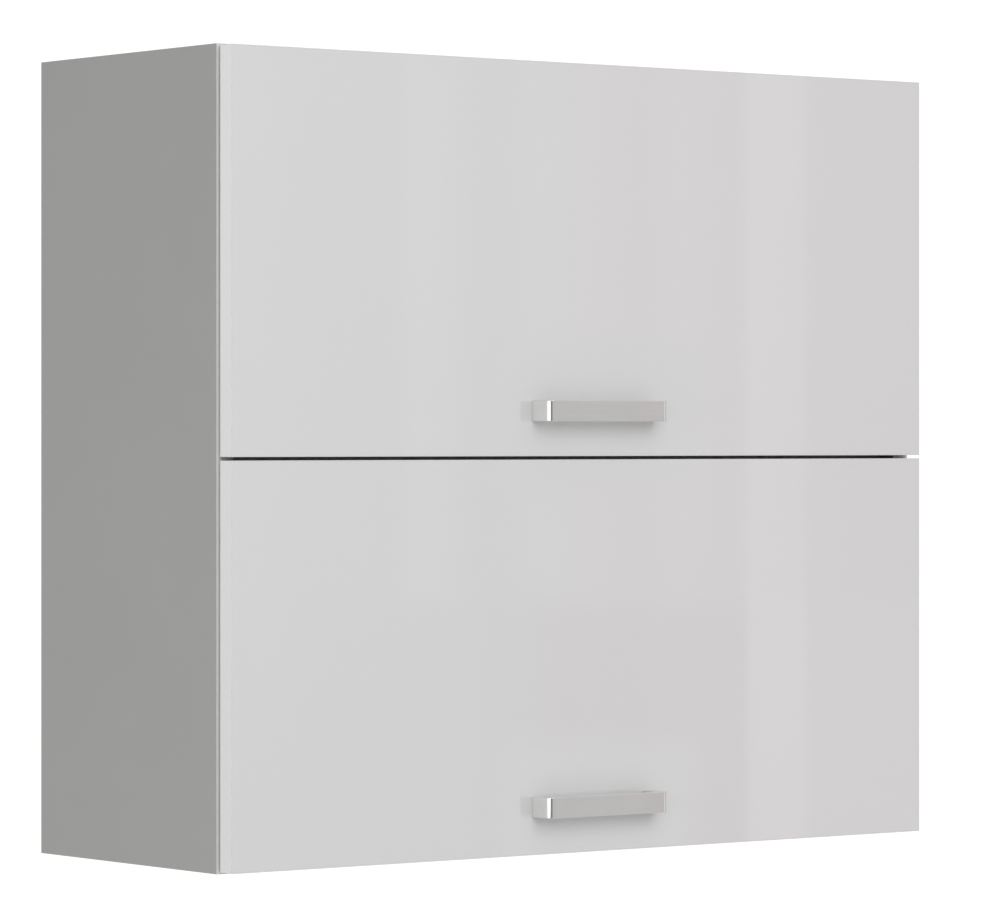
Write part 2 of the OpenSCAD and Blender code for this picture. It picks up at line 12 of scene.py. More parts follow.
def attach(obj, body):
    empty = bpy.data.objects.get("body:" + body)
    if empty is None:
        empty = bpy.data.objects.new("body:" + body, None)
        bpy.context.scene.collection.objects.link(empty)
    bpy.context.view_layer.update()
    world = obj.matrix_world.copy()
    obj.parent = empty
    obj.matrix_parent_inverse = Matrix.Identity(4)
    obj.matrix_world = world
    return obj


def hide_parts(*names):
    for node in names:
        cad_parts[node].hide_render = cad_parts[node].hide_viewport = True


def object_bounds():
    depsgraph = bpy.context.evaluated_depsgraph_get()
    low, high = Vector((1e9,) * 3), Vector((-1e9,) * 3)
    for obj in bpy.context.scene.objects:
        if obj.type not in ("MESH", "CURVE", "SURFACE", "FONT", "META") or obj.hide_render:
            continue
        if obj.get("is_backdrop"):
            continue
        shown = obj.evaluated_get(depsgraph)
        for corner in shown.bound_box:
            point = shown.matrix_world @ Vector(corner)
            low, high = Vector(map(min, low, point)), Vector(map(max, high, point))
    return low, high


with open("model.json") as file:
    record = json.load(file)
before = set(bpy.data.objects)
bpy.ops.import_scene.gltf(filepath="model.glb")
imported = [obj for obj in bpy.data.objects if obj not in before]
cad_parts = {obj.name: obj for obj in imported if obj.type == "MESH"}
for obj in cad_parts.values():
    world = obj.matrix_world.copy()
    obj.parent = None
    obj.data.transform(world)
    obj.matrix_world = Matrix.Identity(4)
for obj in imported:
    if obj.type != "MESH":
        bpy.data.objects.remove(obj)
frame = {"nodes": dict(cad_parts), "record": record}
CAD_LO, CAD_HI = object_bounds()

# ------------------------------------------------------------------ sizes
# Millimetres. X across, Y measured from the corpus front to the back, Z up.
YM = 120.5
CAB_W, CAB_H, CAB_D = 800.0, 720.0, 285.0
BOARD = 18.0
HALF, IN_W = CAB_W / 2, CAB_W / 2 - BOARD
Y_BACK = 267.0
Y_FB, Y_FF = -2.0, -20.0
FRONTS = {"upper": (361.5, 718.5), "lower": (1.5, 358.5)}
HANDLE_Z = {"upper": 402.5, "lower": 45.0}
SHELF_Z, TOP_Z = 351.0, 702.0
PLATE_FACE = {"upper": -16.5, "lower": -7.5}
A, B, V = (16.0, -36.0), (-7.8, -11.3), (-10.0, -18.6)
P, K, Q = (92.0, -92.0), (112.0, -170.0), (14.0, -90.0)
HINGE_X = 290.0
X_BASE = -IN_W
X_COVER = X_BASE + 11
X_LEVER = X_COVER + 2.2
X_ROD = X_LEVER + 3.5
X_EAR = X_ROD + 3


def to_frame(co):
    """Points in millimetres, cabinet coordinates, to metres in the shared frame."""
    out = np.array(co, float).reshape(-1, 3) / 1000
    out[:, 1] -= YM / 1000
    return out


# ------------------------------------------------------------------ mesh tools
class Shape:
    """Vertices in millimetres, faces, and a material index for each face."""

    def __init__(self, co=(), faces=(), mats=None):
        self.co = np.array(co, float).reshape(-1, 3)
        self.faces = [tuple(f) for f in faces]
        self.mats = list(mats) if mats is not None else [0] * len(self.faces)

    def add(self, other):
        n = len(self.co)
        self.co = np.vstack([self.co, other.co]) if n else other.co.copy()
        self.faces += [tuple(i + n for i in f) for f in other.faces]
        self.mats += other.mats
        return self

    def moved(self, dx=0.0, dy=0.0, dz=0.0):
        return Shape(self.co + (dx, dy, dz), self.faces, self.mats)

    def mirrored(self):
        return Shape(self.co * (-1, 1, 1), [f[::-1] for f in self.faces], self.mats)

    def turned(self, matrix):
        m = np.array(matrix, float)[:3, :3]
        flip = np.linalg.det(m) < 0
        return Shape(self.co @ m.T, [f[::-1] if flip else f for f in self.faces], self.mats)

    def painted(self, index):
        return Shape(self.co, self.faces, [index] * len(self.faces))


def both(shape):
    return Shape().add(shape).add(shape.mirrored())


def grab(obj):
    """The evaluated mesh of a scratch object as a Shape; the object is removed."""
    dg = bpy.context.evaluated_depsgraph_get()
    me = bpy.data.meshes.new_from_object(obj.evaluated_get(dg))
    co = np.zeros(len(me.vertices) * 3)
    me.vertices.foreach_get("co", co)
    faces = [tuple(p.vertices) for p in me.polygons]
    mats = [p.material_index for p in me.polygons]
    data = obj.data
    bpy.data.objects.remove(obj)
    if isinstance(data, bpy.types.Curve):
        bpy.data.curves.remove(data)
    else:
        bpy.data.meshes.remove(data)
    bpy.data.meshes.remove(me)
    return Shape(co.reshape(-1, 3), faces, mats)


def arc(cx, cy, r, a0, a1, n=8):
    return [
        (cx + r * math.cos(math.radians(a0 + (a1 - a0) * i / n)), cy + r * math.sin(math.radians(a0 + (a1 - a0) * i / n)))
        for i in range(n + 1)
    ]


def circle(cx, cy, r, n=32):
    return arc(cx, cy, r, 0, 360, n)[:-1]


def fillet(points, radius, n=5):
    """Rounds the corners of a closed outline; radius is one number or one per corner."""
    out = []
    count = len(points)
    radii = radius if hasattr(radius, "__len__") else [radius] * count
    for i, r in enumerate(radii):
        p, a, b = (Vector(points[j % count]) for j in (i, i - 1, i + 1))
        if r <= 0:
            out.append(tuple(p))
            continue
        u, v = (a - p).normalized(), (b - p).normalized()
        half = u.angle(v) / 2
        r = min(r, 0.49 * min((a - p).length, (b - p).length) * math.tan(half))
        d = r / math.tan(half)
        c = p + (u + v).normalized() * (r / math.sin(half))
        s, t = p + u * d - c, p + v * d - c
        a0 = math.atan2(s.y, s.x)
        turn = (math.atan2(t.y, t.x) - a0 + math.pi) % (2 * math.pi) - math.pi
        out += [(c.x + r * math.cos(a0 + turn * k / n), c.y + r * math.sin(a0 + turn * k / n)) for k in range(n + 1)]
    return out


def capsule(p, q, r, n=12):
    ang = math.degrees(math.atan2(q[1] - p[1], q[0] - p[0]))
    return arc(q[0], q[1], r, ang - 90, ang + 90, n) + arc(p[0], p[1], r, ang + 90, ang + 270, n)


def slab(loops, axis, a0, a1, edge=0.3, steps=2):
    """Closed outlines, the first the outer one and the rest holes, made solid from a0 to a1 along an axis, with rounded edges.
    Axis x takes (y, z), y takes (x, z) and z takes (x, y)."""
    a0, a1 = min(a0, a1), max(a0, a1)
    cu = bpy.data.curves.new("scratch", "CURVE")
    cu.dimensions, cu.fill_mode = "2D", "BOTH"
    for loop in loops:
        sp = cu.splines.new("POLY")
        sp.points.add(len(loop) - 1)
        for pt, (u, v) in zip(sp.points, loop):
            pt.co = (u, v, 0, 1)
        sp.use_cyclic_u = True
    edge = min(edge, 0.49 * (a1 - a0))
    cu.extrude = (a1 - a0) / 2 - edge
    cu.bevel_depth, cu.bevel_resolution, cu.offset = edge, steps, -edge
    ob = bpy.data.objects.new("scratch", cu)
    bpy.context.scene.collection.objects.link(ob)
    s = grab(ob)
    mid = (a0 + a1) / 2
    u, v, w = s.co[:, 0], s.co[:, 1], s.co[:, 2] + mid
    if axis == "x":
        s.co = np.stack([w, u, v], 1)
    elif axis == "y":
        s.co = np.stack([u, w, v], 1)
    else:
        s.co = np.stack([u, v, w], 1)
    return s


def brick(x0, x1, y0, y1, z0, z1, edge=0.3, segments=2):
    """A block with rounded edges."""
    bm = bmesh.new()
    bmesh.ops.create_cube(bm, size=1)
    for v in bm.verts:
        v.co = Vector((x0 + (v.co.x + 0.5) * (x1 - x0), y0 + (v.co.y + 0.5) * (y1 - y0), z0 + (v.co.z + 0.5) * (z1 - z0)))
    if edge > 0:
        bmesh.ops.bevel(bm, geom=bm.edges[:], offset=edge, segments=segments, profile=0.5, affect="EDGES", clamp_overlap=True)
    bm.verts.index_update()
    s = Shape([v.co[:] for v in bm.verts], [[v.index for v in f.verts] for f in bm.faces])
    bm.free()
    return s


AXES = {
    "+z": Matrix.Identity(3),
    "-z": Matrix.Rotation(math.pi, 3, "X"),
    "+x": Matrix.Rotation(math.pi / 2, 3, "Y"),
    "-x": Matrix.Rotation(-math.pi / 2, 3, "Y"),
    "+y": Matrix.Rotation(-math.pi / 2, 3, "X"),
    "-y": Matrix.Rotation(math.pi / 2, 3, "X"),
}


def lathe(profile, centre=(0, 0, 0), axis="+z", n=32, wave=None):
    """A profile of (radius, height) turned about an axis. Ends at radius 0 are closed to a point.
    wave=(count, depth) flutes it."""
    co, faces = [], []
    rings = []
    for r, h in profile:
        if r <= 1e-6:
            rings.append([len(co)])
            co.append((0, 0, h))
        else:
            ring = []
            for k in range(n):
                a = 2 * math.pi * k / n
                rr = r - (wave[1] * (0.5 - 0.5 * math.cos(a * wave[0])) if wave and r > 1 else 0)
                ring.append(len(co))
                co.append((rr * math.cos(a), rr * math.sin(a), h))
            rings.append(ring)
    for a, b in zip(rings, rings[1:]):
        if len(a) == 1 and len(b) == 1:
            continue
        for k in range(n):
            j = (k + 1) % n
            if len(a) == 1:
                faces.append((a[0], b[k], b[j]))
            elif len(b) == 1:
                faces.append((a[k], b[0], a[j]))
            else:
                faces.append((a[k], b[k], b[j], a[j]))
    s = Shape(co, faces).turned(AXES[axis])
    return s.moved(*centre)


def cut(shape, tools):
    """The shape with the tools' volumes taken away."""
    def scratch(s, name):
        me = bpy.data.meshes.new(name)
        me.from_pydata([tuple(c) for c in s.co], [], s.faces)
        for p, m in zip(me.polygons, s.mats):
            p.material_index = m
        bm = bmesh.new()
        bm.from_mesh(me)
        bmesh.ops.recalc_face_normals(bm, faces=bm.faces[:])
        bm.to_mesh(me)
        bm.free()
        ob = bpy.data.objects.new(name, me)
        bpy.context.scene.collection.objects.link(ob)
        return ob

    body = scratch(shape, "scratch_body")
    tool = Shape()
    for t in tools:
        tool.add(t)
    knife = scratch(tool, "scratch_tool")
    mod = body.modifiers.new("cut", "BOOLEAN")
    mod.operation, mod.solver, mod.object = "DIFFERENCE", "EXACT", knife
    mod.use_self = True
    bpy.context.view_layer.update()
    out = grab(body)
    data = knife.data
    bpy.data.objects.remove(knife)
    bpy.data.meshes.remove(data)
    return out


def cross_tool(size, width, top, depth):
    """A tapered cross-shaped punch along Z."""
    a, b = size / 2, width / 2
    plus = [(b, a), (-b, a), (-b, b), (-a, b), (-a, -b), (-b, -b), (-b, -a), (b, -a), (b, -b), (a, -b), (a, b), (b, b)]
    n = len(plus)
    co = [(x, y, top + 0.5) for x, y in plus] + [(x * 0.95, y * 0.95, top) for x, y in plus]
    co += [(x * 0.45, y * 0.45, top - depth) for x, y in plus]
    faces = [tuple(range(n))[::-1], tuple(range(2 * n, 3 * n))]
    for k in (0, 1):
        faces += [(k * n + i, k * n + (i + 1) % n, (k + 1) * n + (i + 1) % n, (k + 1) * n + i) for i in range(n)]
    return Shape(co, faces)


SCREWS = {}


def screw(head_r, head_h, shank_r, length, pitch=1.1, kind="pan", machine=False, socket=None):
    """A screw along Z: its head stands on Z 0 and its thread runs down. Made once for each size."""
    key = (head_r, head_h, shank_r, length, pitch, kind, machine, socket)
    if key not in SCREWS:
        r, h = head_r, head_h
        if kind == "pan":
            top = [(0, h), (r * 0.45, h * 0.985), (r * 0.72, h * 0.88), (r * 0.9, h * 0.68), (r * 0.985, h * 0.42), (r, h * 0.2), (r * 0.975, 0.0)]
        else:
            top = [(0, h), (r * 0.8, h), (r * 0.95, h * 0.93), (r, h * 0.75), (r, h * 0.12), (r * 0.97, 0.0)]
        body = [(shank_r * 0.8, 0.0), (shank_r * 0.8, -0.6)]
        z, inner = -0.6, shank_r * (0.84 if machine else 0.72)
        while z > -length + 2.2 * pitch:
            body += [(inner, z - 0.15 * pitch), (shank_r, z - 0.5 * pitch), (inner, z - 0.85 * pitch)]
            z -= pitch
        tip = [(inner, -length + 1.2), (inner * 0.7, -length + 0.5), (0, -length)] if not machine else [(inner, -length + 0.4), (inner * 0.8, -length), (0, -length)]
        s = lathe(top + body + tip, n=24)
        size, width, depth = socket or (r * 1.15, r * 0.26, h * 0.8)
        s = cut(s, [cross_tool(size, width, h, depth)])
        SCREWS[key] = s
    return SCREWS[key]


def coil(y0, y1, x, z, radius, wire, turns, sides=6, per=14):
    """A helical spring along Y, with closed end turns."""
    n = int(turns * per)
    co, faces = [], []
    for i in range(n + 1):
        t = i / n
        ease = min(1.0, max(0.0, (t * turns - 0.9) / (turns - 1.8)))
        a = 2 * math.pi * turns * t
        cy = y0 + wire + (y1 - y0 - 2 * wire) * ease
        radial = Vector((math.cos(a), 0, math.sin(a)))
        for k in range(sides):
            b = 2 * math.pi * k / sides
            p = Vector((x, cy, z)) + radial * (radius + wire * math.cos(b)) + Vector((0, wire * math.sin(b), 0))
            co.append(p[:])
    for i in range(n):
        for k in range(sides):
            j = (k + 1) % sides
            faces.append((i * sides + k, i * sides + j, (i + 1) * sides + j, (i + 1) * sides + k))
    faces += [tuple(range(sides))[::-1], tuple(range(n * sides, (n + 1) * sides))]
    return Shape(co, faces)


def softened(node, width=0.3, segments=2, angle=28.0, keep=None, paint=None):
    """A copy of a CAD node's mesh, in millimetres, whose sharp edges are rounded. keep(edge) says which are; paint(face) gives a material index."""
    me = frame["nodes"][node].data
    bm = bmesh.new()
    bm.from_mesh(me)
    for v in bm.verts:
        v.co = Vector((v.co.x * 1000, v.co.y * 1000 + YM, v.co.z * 1000))
    bmesh.ops.remove_doubles(bm, verts=bm.verts[:], dist=0.002)
    bmesh.ops.dissolve_degenerate(bm, edges=bm.edges[:], dist=0.002)
    bmesh.ops.dissolve_limit(bm, angle_limit=math.radians(0.6), verts=bm.verts[:], edges=bm.edges[:])
    bm.normal_update()
    lim = math.radians(angle)
    edges = [e for e in bm.edges if len(e.link_faces) == 2 and e.calc_face_angle(0) > lim and (keep is None or keep(e))]
    if edges and width > 0:
        bmesh.ops.bevel(bm, geom=edges, offset=width, segments=segments, profile=0.5, affect="EDGES", clamp_overlap=True, loop_slide=True)
    bm.normal_update()
    bm.verts.index_update()
    s = Shape([v.co[:] for v in bm.verts], [[v.index for v in f.verts] for f in bm.faces], [paint(f) if paint else 0 for f in bm.faces])
    bm.free()
    return s


def piece(name, shape, node, mats, body=None, sharp=32.0, weighted=True, recalc=True):
    """Makes the object, rides it on the node's body, and lets it stand for the node."""
    me = bpy.data.meshes.new(name)
    me.from_pydata([tuple(c) for c in to_frame(shape.co)], [], shape.faces)
    for m in mats:
        me.materials.append(m)
    me.polygons.foreach_set("material_index", shape.mats)
    bm = bmesh.new()
    bm.from_mesh(me)
    bmesh.ops.remove_doubles(bm, verts=bm.verts[:], dist=2e-7)
    if recalc:
        bmesh.ops.recalc_face_normals(bm, faces=bm.faces[:])
    bm.to_mesh(me)
    bm.free()
    me.polygons.foreach_set("use_smooth", [True] * len(me.polygons))
    me.set_sharp_from_angle(angle=math.radians(sharp))
    me.update()
    ob = bpy.data.objects.new(name, me)
    bpy.context.scene.collection.objects.link(ob)
    if weighted:
        mod = ob.modifiers.new("normals", "WEIGHTED_NORMAL")
        mod.keep_sharp, mod.weight = True, 60
    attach(ob, body or BODY[node])
    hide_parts(node)
    return ob


BODY = {n: b for b, ns in frame["record"]["behaviour"]["bodies"].items() for n in ns}

# ------------------------------------------------------------------ materials


class Nodes:
    """A small builder for one material's node tree."""

    def __init__(self, name):
        self.mat = bpy.data.materials.new(name)
        self.mat.use_nodes = True
        self.nt = self.mat.node_tree
        self.nt.nodes.clear()
        out = self.nt.nodes.new("ShaderNodeOutputMaterial")
        self.bsdf = self.nt.nodes.new("ShaderNodeBsdfPrincipled")
        self.nt.links.new(self.bsdf.outputs[0], out.inputs[0])
        tc = self.nt.nodes.new("ShaderNodeTexCoord")
        self.object = tc.outputs["Object"]

    def link(self, a, b):
        self.nt.links.new(a, b)

    def set(self, **kw):
        for k, v in kw.items():
            self.bsdf.inputs[k.replace("_", " ")].default_value = v
        return self

    def put(self, socket, source):
        self.link(source, self.bsdf.inputs[socket])
        return self

    def stretch(self, scale, rotation=(0, 0, 0)):
        m = self.nt.nodes.new("ShaderNodeMapping")
        m.inputs["Scale"].default_value = scale
        m.inputs["Rotation"].default_value = rotation
        self.link(self.object, m.inputs["Vector"])
        return m.outputs[0]

    def noise(self, scale, detail=2.0, rough=0.5, vector=None, distortion=0.0):
        n = self.nt.nodes.new("ShaderNodeTexNoise")
        n.inputs["Scale"].default_value = scale
        n.inputs["Detail"].default_value = detail
        n.inputs["Roughness"].default_value = rough
        n.inputs["Distortion"].default_value = distortion
        self.link(vector or self.object, n.inputs["Vector"])
        return n.outputs["Fac"]

    def voronoi(self, scale, vector=None, feature="F1", out="Distance"):
        n = self.nt.nodes.new("ShaderNodeTexVoronoi")
        n.feature = feature
        n.inputs["Scale"].default_value = scale
        self.link(vector or self.object, n.inputs["Vector"])
        return n.outputs[out]

    def ramp(self, source, stops):
        r = self.nt.nodes.new("ShaderNodeValToRGB")
        els = r.color_ramp.elements
        while len(els) < len(stops):
            els.new(0.5)
        for el, (pos, col) in zip(els, stops):
            el.position = pos
            el.color = (*col, 1) if len(col) == 3 else col
        self.link(source, r.inputs["Fac"])
        return r.outputs["Color"]

    def grey(self, source, lo, hi, a=0.3, b=0.7):
        m = self.nt.nodes.new("ShaderNodeMapRange")
        m.inputs["From Min"].default_value, m.inputs["From Max"].default_value = a, b
        m.inputs["To Min"].default_value, m.inputs["To Max"].default_value = lo, hi
        self.link(source, m.inputs["Value"])
        return m.outputs[0]

    def math(self, op, a, b):
        m = self.nt.nodes.new("ShaderNodeMath")
        m.operation = op
        for i, s in enumerate((a, b)):
            if isinstance(s, (int, float)):
                m.inputs[i].default_value = s
            else:
                self.link(s, m.inputs[i])
        return m.outputs[0]

    def mix(self, fac, a, b, kind="MIX"):
        m = self.nt.nodes.new("ShaderNodeMix")
        m.data_type, m.blend_type = "RGBA", kind
        for name, s in (("Factor", fac), ("A", a), ("B", b)):
            sock = [i for i in m.inputs if i.name == name and i.type == ("VALUE" if name == "Factor" else "RGBA")][0]
            if isinstance(s, (int, float)):
                sock.default_value = s
            elif isinstance(s, (tuple, list)):
                sock.default_value = (*s, 1) if len(s) == 3 else s
            else:
                self.link(s, sock)
        return [o for o in m.outputs if o.type == "RGBA"][0]

    def bump(self, *layers):
        """Each layer is (height socket, distance in metres, strength)."""
        last = None
        for height, distance, strength in layers:
            b = self.nt.nodes.new("ShaderNodeBump")
            b.inputs["Strength"].default_value = strength
            b.inputs["Distance"].default_value = distance
            self.link(height, b.inputs["Height"])
            if last is not None:
                self.link(last, b.inputs["Normal"])
            last = b.outputs["Normal"]
        self.link(last, self.bsdf.inputs["Normal"])
        return self


def shade(col, k):
    return tuple(c * k for c in col)


def melamine(name, col, rough=0.46, pearl=1.0):
    """Faced board: an even tone, a fine pearl grain and a faint cloud."""
    m = Nodes(name)
    fine, cloud = m.noise(1500, 3), m.noise(9, 2)
    tone = m.mix(0.5, m.ramp(fine, [(0.36, shade(col, 0.965)), (0.64, shade(col, 1.035))]), m.ramp(cloud, [(0.35, shade(col, 0.985)), (0.65, shade(col, 1.015))]))
    m.put("Base Color", tone).put("Roughness", m.grey(m.noise(700, 2), rough - 0.05, rough + 0.05))
    m.bump((m.noise(1100, 2, 0.6), 0.00006 * pearl, 0.5))
    return m.mat


def gloss(name, col, rough=0.05, peel=1.0):
    """High-gloss faced board: deep even tone, with the very slight waviness that such faces show."""
    m = Nodes(name)
    cloud = m.noise(3.5, 2)
    m.put("Base Color", m.ramp(cloud, [(0.3, shade(col, 0.995)), (0.7, shade(col, 1.005))]))
    m.put("Roughness", m.grey(m.noise(40, 3), rough * 0.8, rough * 1.2))
    m.set(IOR=1.65, Specular_IOR_Level=1.0)
    m.bump((m.noise(70, 1, 0.4), 0.000012 * peel, 0.35))
    return m.mat


def chipboard(name):
    """Raw particle board: flat chips of several browns, with dark flecks and open pores."""
    m = Nodes(name)
    v = m.stretch((1, 1, 2.4))
    chips = m.voronoi(420, v, out="Color")
    small = m.noise(900, 4, 0.65, v)
    split = m.nt.nodes.new("ShaderNodeSeparateColor")
    m.link(chips, split.inputs[0])
    tone = m.ramp(split.outputs[0], [(0.0, (0.30, 0.20, 0.115)), (0.35, (0.46, 0.33, 0.20)), (0.7, (0.56, 0.42, 0.265)), (1.0, (0.63, 0.50, 0.34))])
    tone = m.mix(m.ramp(small, [(0.30, (0.85, 0.85, 0.85)), (0.44, (0, 0, 0))]), tone, (0.16, 0.10, 0.055))
    m.put("Base Color", tone).put("Roughness", m.grey(small, 0.82, 0.97))
    m.bump((m.voronoi(420, v), 0.0004, 0.5), (small, 0.0005, 0.5))
    return m.mat


def hardboard(name):
    """Rear of a thin fibreboard: brown felted fibres with the fine print of the press screen."""
    m = Nodes(name)
    fibre = m.noise(260, 6, 0.7, m.stretch((1, 1, 3.5)), 1.2)
    cloud = m.noise(7, 3)
    tone = m.mix(0.45, m.ramp(fibre, [(0.3, (0.185, 0.110, 0.058)), (0.7, (0.33, 0.215, 0.125))]), m.ramp(cloud, [(0.35, (0.225, 0.140, 0.078)), (0.65, (0.285, 0.183, 0.106))]))
    w = m.nt.nodes.new("ShaderNodeTexWave")
    w.inputs["Scale"].default_value = 90
    w.bands_direction = "X"
    m.link(m.object, w.inputs["Vector"])
    w2 = m.nt.nodes.new("ShaderNodeTexWave")
    w2.inputs["Scale"].default_value = 90
    w2.bands_direction = "Z"
    m.link(m.object, w2.inputs["Vector"])
    m.put("Base Color", tone).put("Roughness", m.grey(fibre, 0.72, 0.88))
    m.bump((m.math("MULTIPLY", w.outputs["Fac"], w2.outputs["Fac"]), 0.00012, 0.35), (fibre, 0.0002, 0.35))
    return m.mat


def metal(name, col, rough, spread=0.05, grain=None, pits=0.0, aniso=0.0, blotch=0.03):
    """Worked metal: grain is the stretch of its fine scratches along X, Y and Z."""
    m = Nodes(name)
    lines = m.noise(520, 4, 0.6, m.stretch(grain)) if grain else m.noise(900, 3)
    cloud = m.noise(45, 3)
    m.put("Base Color", m.mix(0.5, m.ramp(cloud, [(0.35, shade(col, 1 - blotch)), (0.65, shade(col, 1 + blotch))]), m.ramp(lines, [(0.3, shade(col, 0.97)), (0.7, shade(col, 1.03))])))
    m.put("Roughness", m.grey(lines, rough - spread, rough + spread))
    m.set(Metallic=1.0, Anisotropic=aniso)
    layers = [(lines, 0.00001, 0.25)]
    if pits:
        layers.append((m.noise(1300, 3, 0.7), 0.00006, pits))
    m.bump(*layers)
    return m.mat


def zinc(name, col=(0.62, 0.635, 0.66), rough=0.3):
    """Zinc-plated steel: a cold tone with faint spangle."""
    m = Nodes(name)
    cells = m.voronoi(240, out="Color")
    split = m.nt.nodes.new("ShaderNodeSeparateColor")
    m.link(cells, split.inputs[0])
    m.put("Base Color", m.ramp(split.outputs[0], [(0.0, shade(col, 0.94)), (1.0, shade(col, 1.05))]))
    m.put("Roughness", m.grey(m.noise(600, 3), rough - 0.06, rough + 0.06))
    m.set(Metallic=1.0)
    m.bump((m.noise(800, 3, 0.6), 0.00002, 0.25))
    return m.mat


def plastic(name, col, rough=0.42, texture=1.0, alpha=None):
    """Moulded plastic with a spark-eroded surface."""
    m = Nodes(name)
    fine = m.noise(1700, 3, 0.6)
    m.put("Base Color", m.ramp(m.noise(30, 2), [(0.3, shade(col, 0.975)), (0.7, shade(col, 1.025))]))
    m.put("Roughness", m.grey(fine, rough - 0.05, rough + 0.05))
    m.bump((fine, 0.00005, 0.4 * texture))
    return m.mat


def clear_rubber(name):
    m = Nodes(name)
    m.put("Base Color", m.ramp(m.noise(200, 2), [(0.3, (0.86, 0.87, 0.88)), (0.7, (0.92, 0.92, 0.93))]))
    m.put("Roughness", m.grey(m.noise(400, 2), 0.16, 0.26))
    m.set(IOR=1.46, Transmission_Weight=0.82, Subsurface_Weight=0.1)
    m.mat.node_tree.nodes["Principled BSDF"].inputs["Subsurface Radius"].default_value = (0.003, 0.003, 0.003)
    m.bump((m.noise(600, 2), 0.00002, 0.3))
    return m.mat


def beech(name):
    m = Nodes(name)
    rings = m.noise(160, 4, 0.55, m.stretch((0.08, 1, 1)), 0.6)
    pores = m.noise(1500, 3, 0.6, m.stretch((0.05, 1, 1)))
    m.put("Base Color", m.mix(m.ramp(pores, [(0.34, (0.5, 0.5, 0.5)), (0.42, (0, 0, 0))]), m.ramp(rings, [(0.35, (0.60, 0.41, 0.235)), (0.65, (0.72, 0.53, 0.33))]), (0.38, 0.23, 0.12)))
    m.put("Roughness", m.grey(rings, 0.6, 0.75))
    m.bump((pores, 0.00006, 0.4))
    return m.mat


CORPUS = (0.373, 0.373, 0.362)
FRONT = (0.558, 0.558, 0.558)
M = {
    "board": melamine("corpus_melamine", CORPUS),
    # The corpus edge bands are a lighter copy of the board colour, 1.62 times as light. Part of that is the bands' own
    # lighter tone. The rest is painted light, standing in for the light that the air gap behind the fronts shades off
    # their front edges.
    "edge": melamine("corpus_edge_band", shade(CORPUS, 1.62), 0.42, 0.6),
    "chip": chipboard("raw_particle_board"),
    "back": melamine("back_board_face", shade(CORPUS, 1.06), 0.4, 0.8),
    "hard": hardboard("back_board_rear"),
    "front": gloss("front_high_gloss", FRONT, 0.017, 0.45),
    "front_edge": gloss("front_edge_gloss", shade(FRONT, 1.0), 0.06),
    "front_rear": melamine("front_rear_face", shade(FRONT, 0.98), 0.4, 0.7),
    "chrome": metal("handle_satin_chrome", (0.705, 0.702, 0.692), 0.055, 0.015, (0.05, 1, 1), blotch=0.02),
    "nickel": metal("nickel_plated_steel", (0.70, 0.685, 0.66), 0.2, 0.05, (1, 0.12, 1)),
    "zinc": zinc("zinc_plated_steel", (0.66, 0.67, 0.69), 0.38),
    "screw": metal("screw_steel", (0.66, 0.665, 0.68), 0.24, 0.06),
    "pin": metal("pin_steel", (0.52, 0.52, 0.53), 0.22, 0.05, (0.1, 1, 1)),
    "spring": metal("spring_steel", (0.34, 0.34, 0.36), 0.3, 0.06),
    "cast": metal("zinc_die_cast", (0.56, 0.56, 0.565), 0.42, 0.07, pits=0.45, blotch=0.05),
    "cap": plastic("cover_cap_plastic", shade(CORPUS, 1.08), 0.42),
    "unit": plastic("lift_unit_plastic", (0.150, 0.155, 0.160), 0.45),
    "cover": plastic("lift_cover_plastic", (0.235, 0.240, 0.245), 0.4, 0.8),
    "hanger": plastic("hanger_plastic", (0.72, 0.72, 0.695), 0.38),
    "rubber": clear_rubber("clear_buffer"),
    "beech": beech("beech_dowel"),
}

# ------------------------------------------------------------------ camera
cam_data = bpy.data.cameras.new("camera")
cam_data.sensor_width = 36.0
cam_data.lens = 182.516
cam_data.shift_y = -0.02070
cam_data.clip_end = 200
cam = bpy.data.objects.new("camera", cam_data)
bpy.context.scene.collection.objects.link(cam)
cam.location = (-2.86336, -3.76257, 0.37904)
cam.rotation_euler = (math.radians(90), 0, math.radians(-37.2712))
bpy.context.scene.camera = cam

# ------------------------------------------------------------------ corpus boards


def raw(face, faces_raw):
    """Whether a board's face is raw particle board at one of its ends as named; faces inside a bore or groove are
    painted raw by the caller.
    """
    c, n = face.calc_center_median(), face.normal
    for axis, at, sign in faces_raw:
        if n[axis] * sign > 0.9 and abs(c[axis] - at) < 0.05:
            return 1
    return 0


def board(node, x0, x1, y0, y1, z0, z1, faces_raw):
    lo, hi = (x0, y0, z0), (x1, y1, z1)

    def outer(e):
        if e.calc_length() < 30:
            return False
        m = (e.verts[0].co + e.verts[1].co) / 2
        return sum(min(abs(m[i] - lo[i]), abs(m[i] - hi[i])) < 0.05 for i in range(3)) >= 2

    def paint(f):
        c, n = f.calc_center_median(), f.normal
        on = [i for i in range(3) if abs(n[i]) > 0.9 and (abs(c[i] - lo[i]) < 0.05 or abs(c[i] - hi[i]) < 0.05)]
        if not on and max(abs(n[i]) for i in range(3)) > 0.9999:
            return 1
        if not on:
            inside = all(lo[i] + 0.6 < c[i] < hi[i] - 0.6 for i in range(3))
            return 1 if inside or f.calc_area() > 0.0 and min(min(abs(c[i] - lo[i]), abs(c[i] - hi[i])) for i in range(3)) > 0.6 else 0
        return raw(f, faces_raw)

    s = softened(node, 0.35, 2, keep=outer, paint=paint)
    return piece(node + "_board", s, node, [M["board"], M["chip"]])


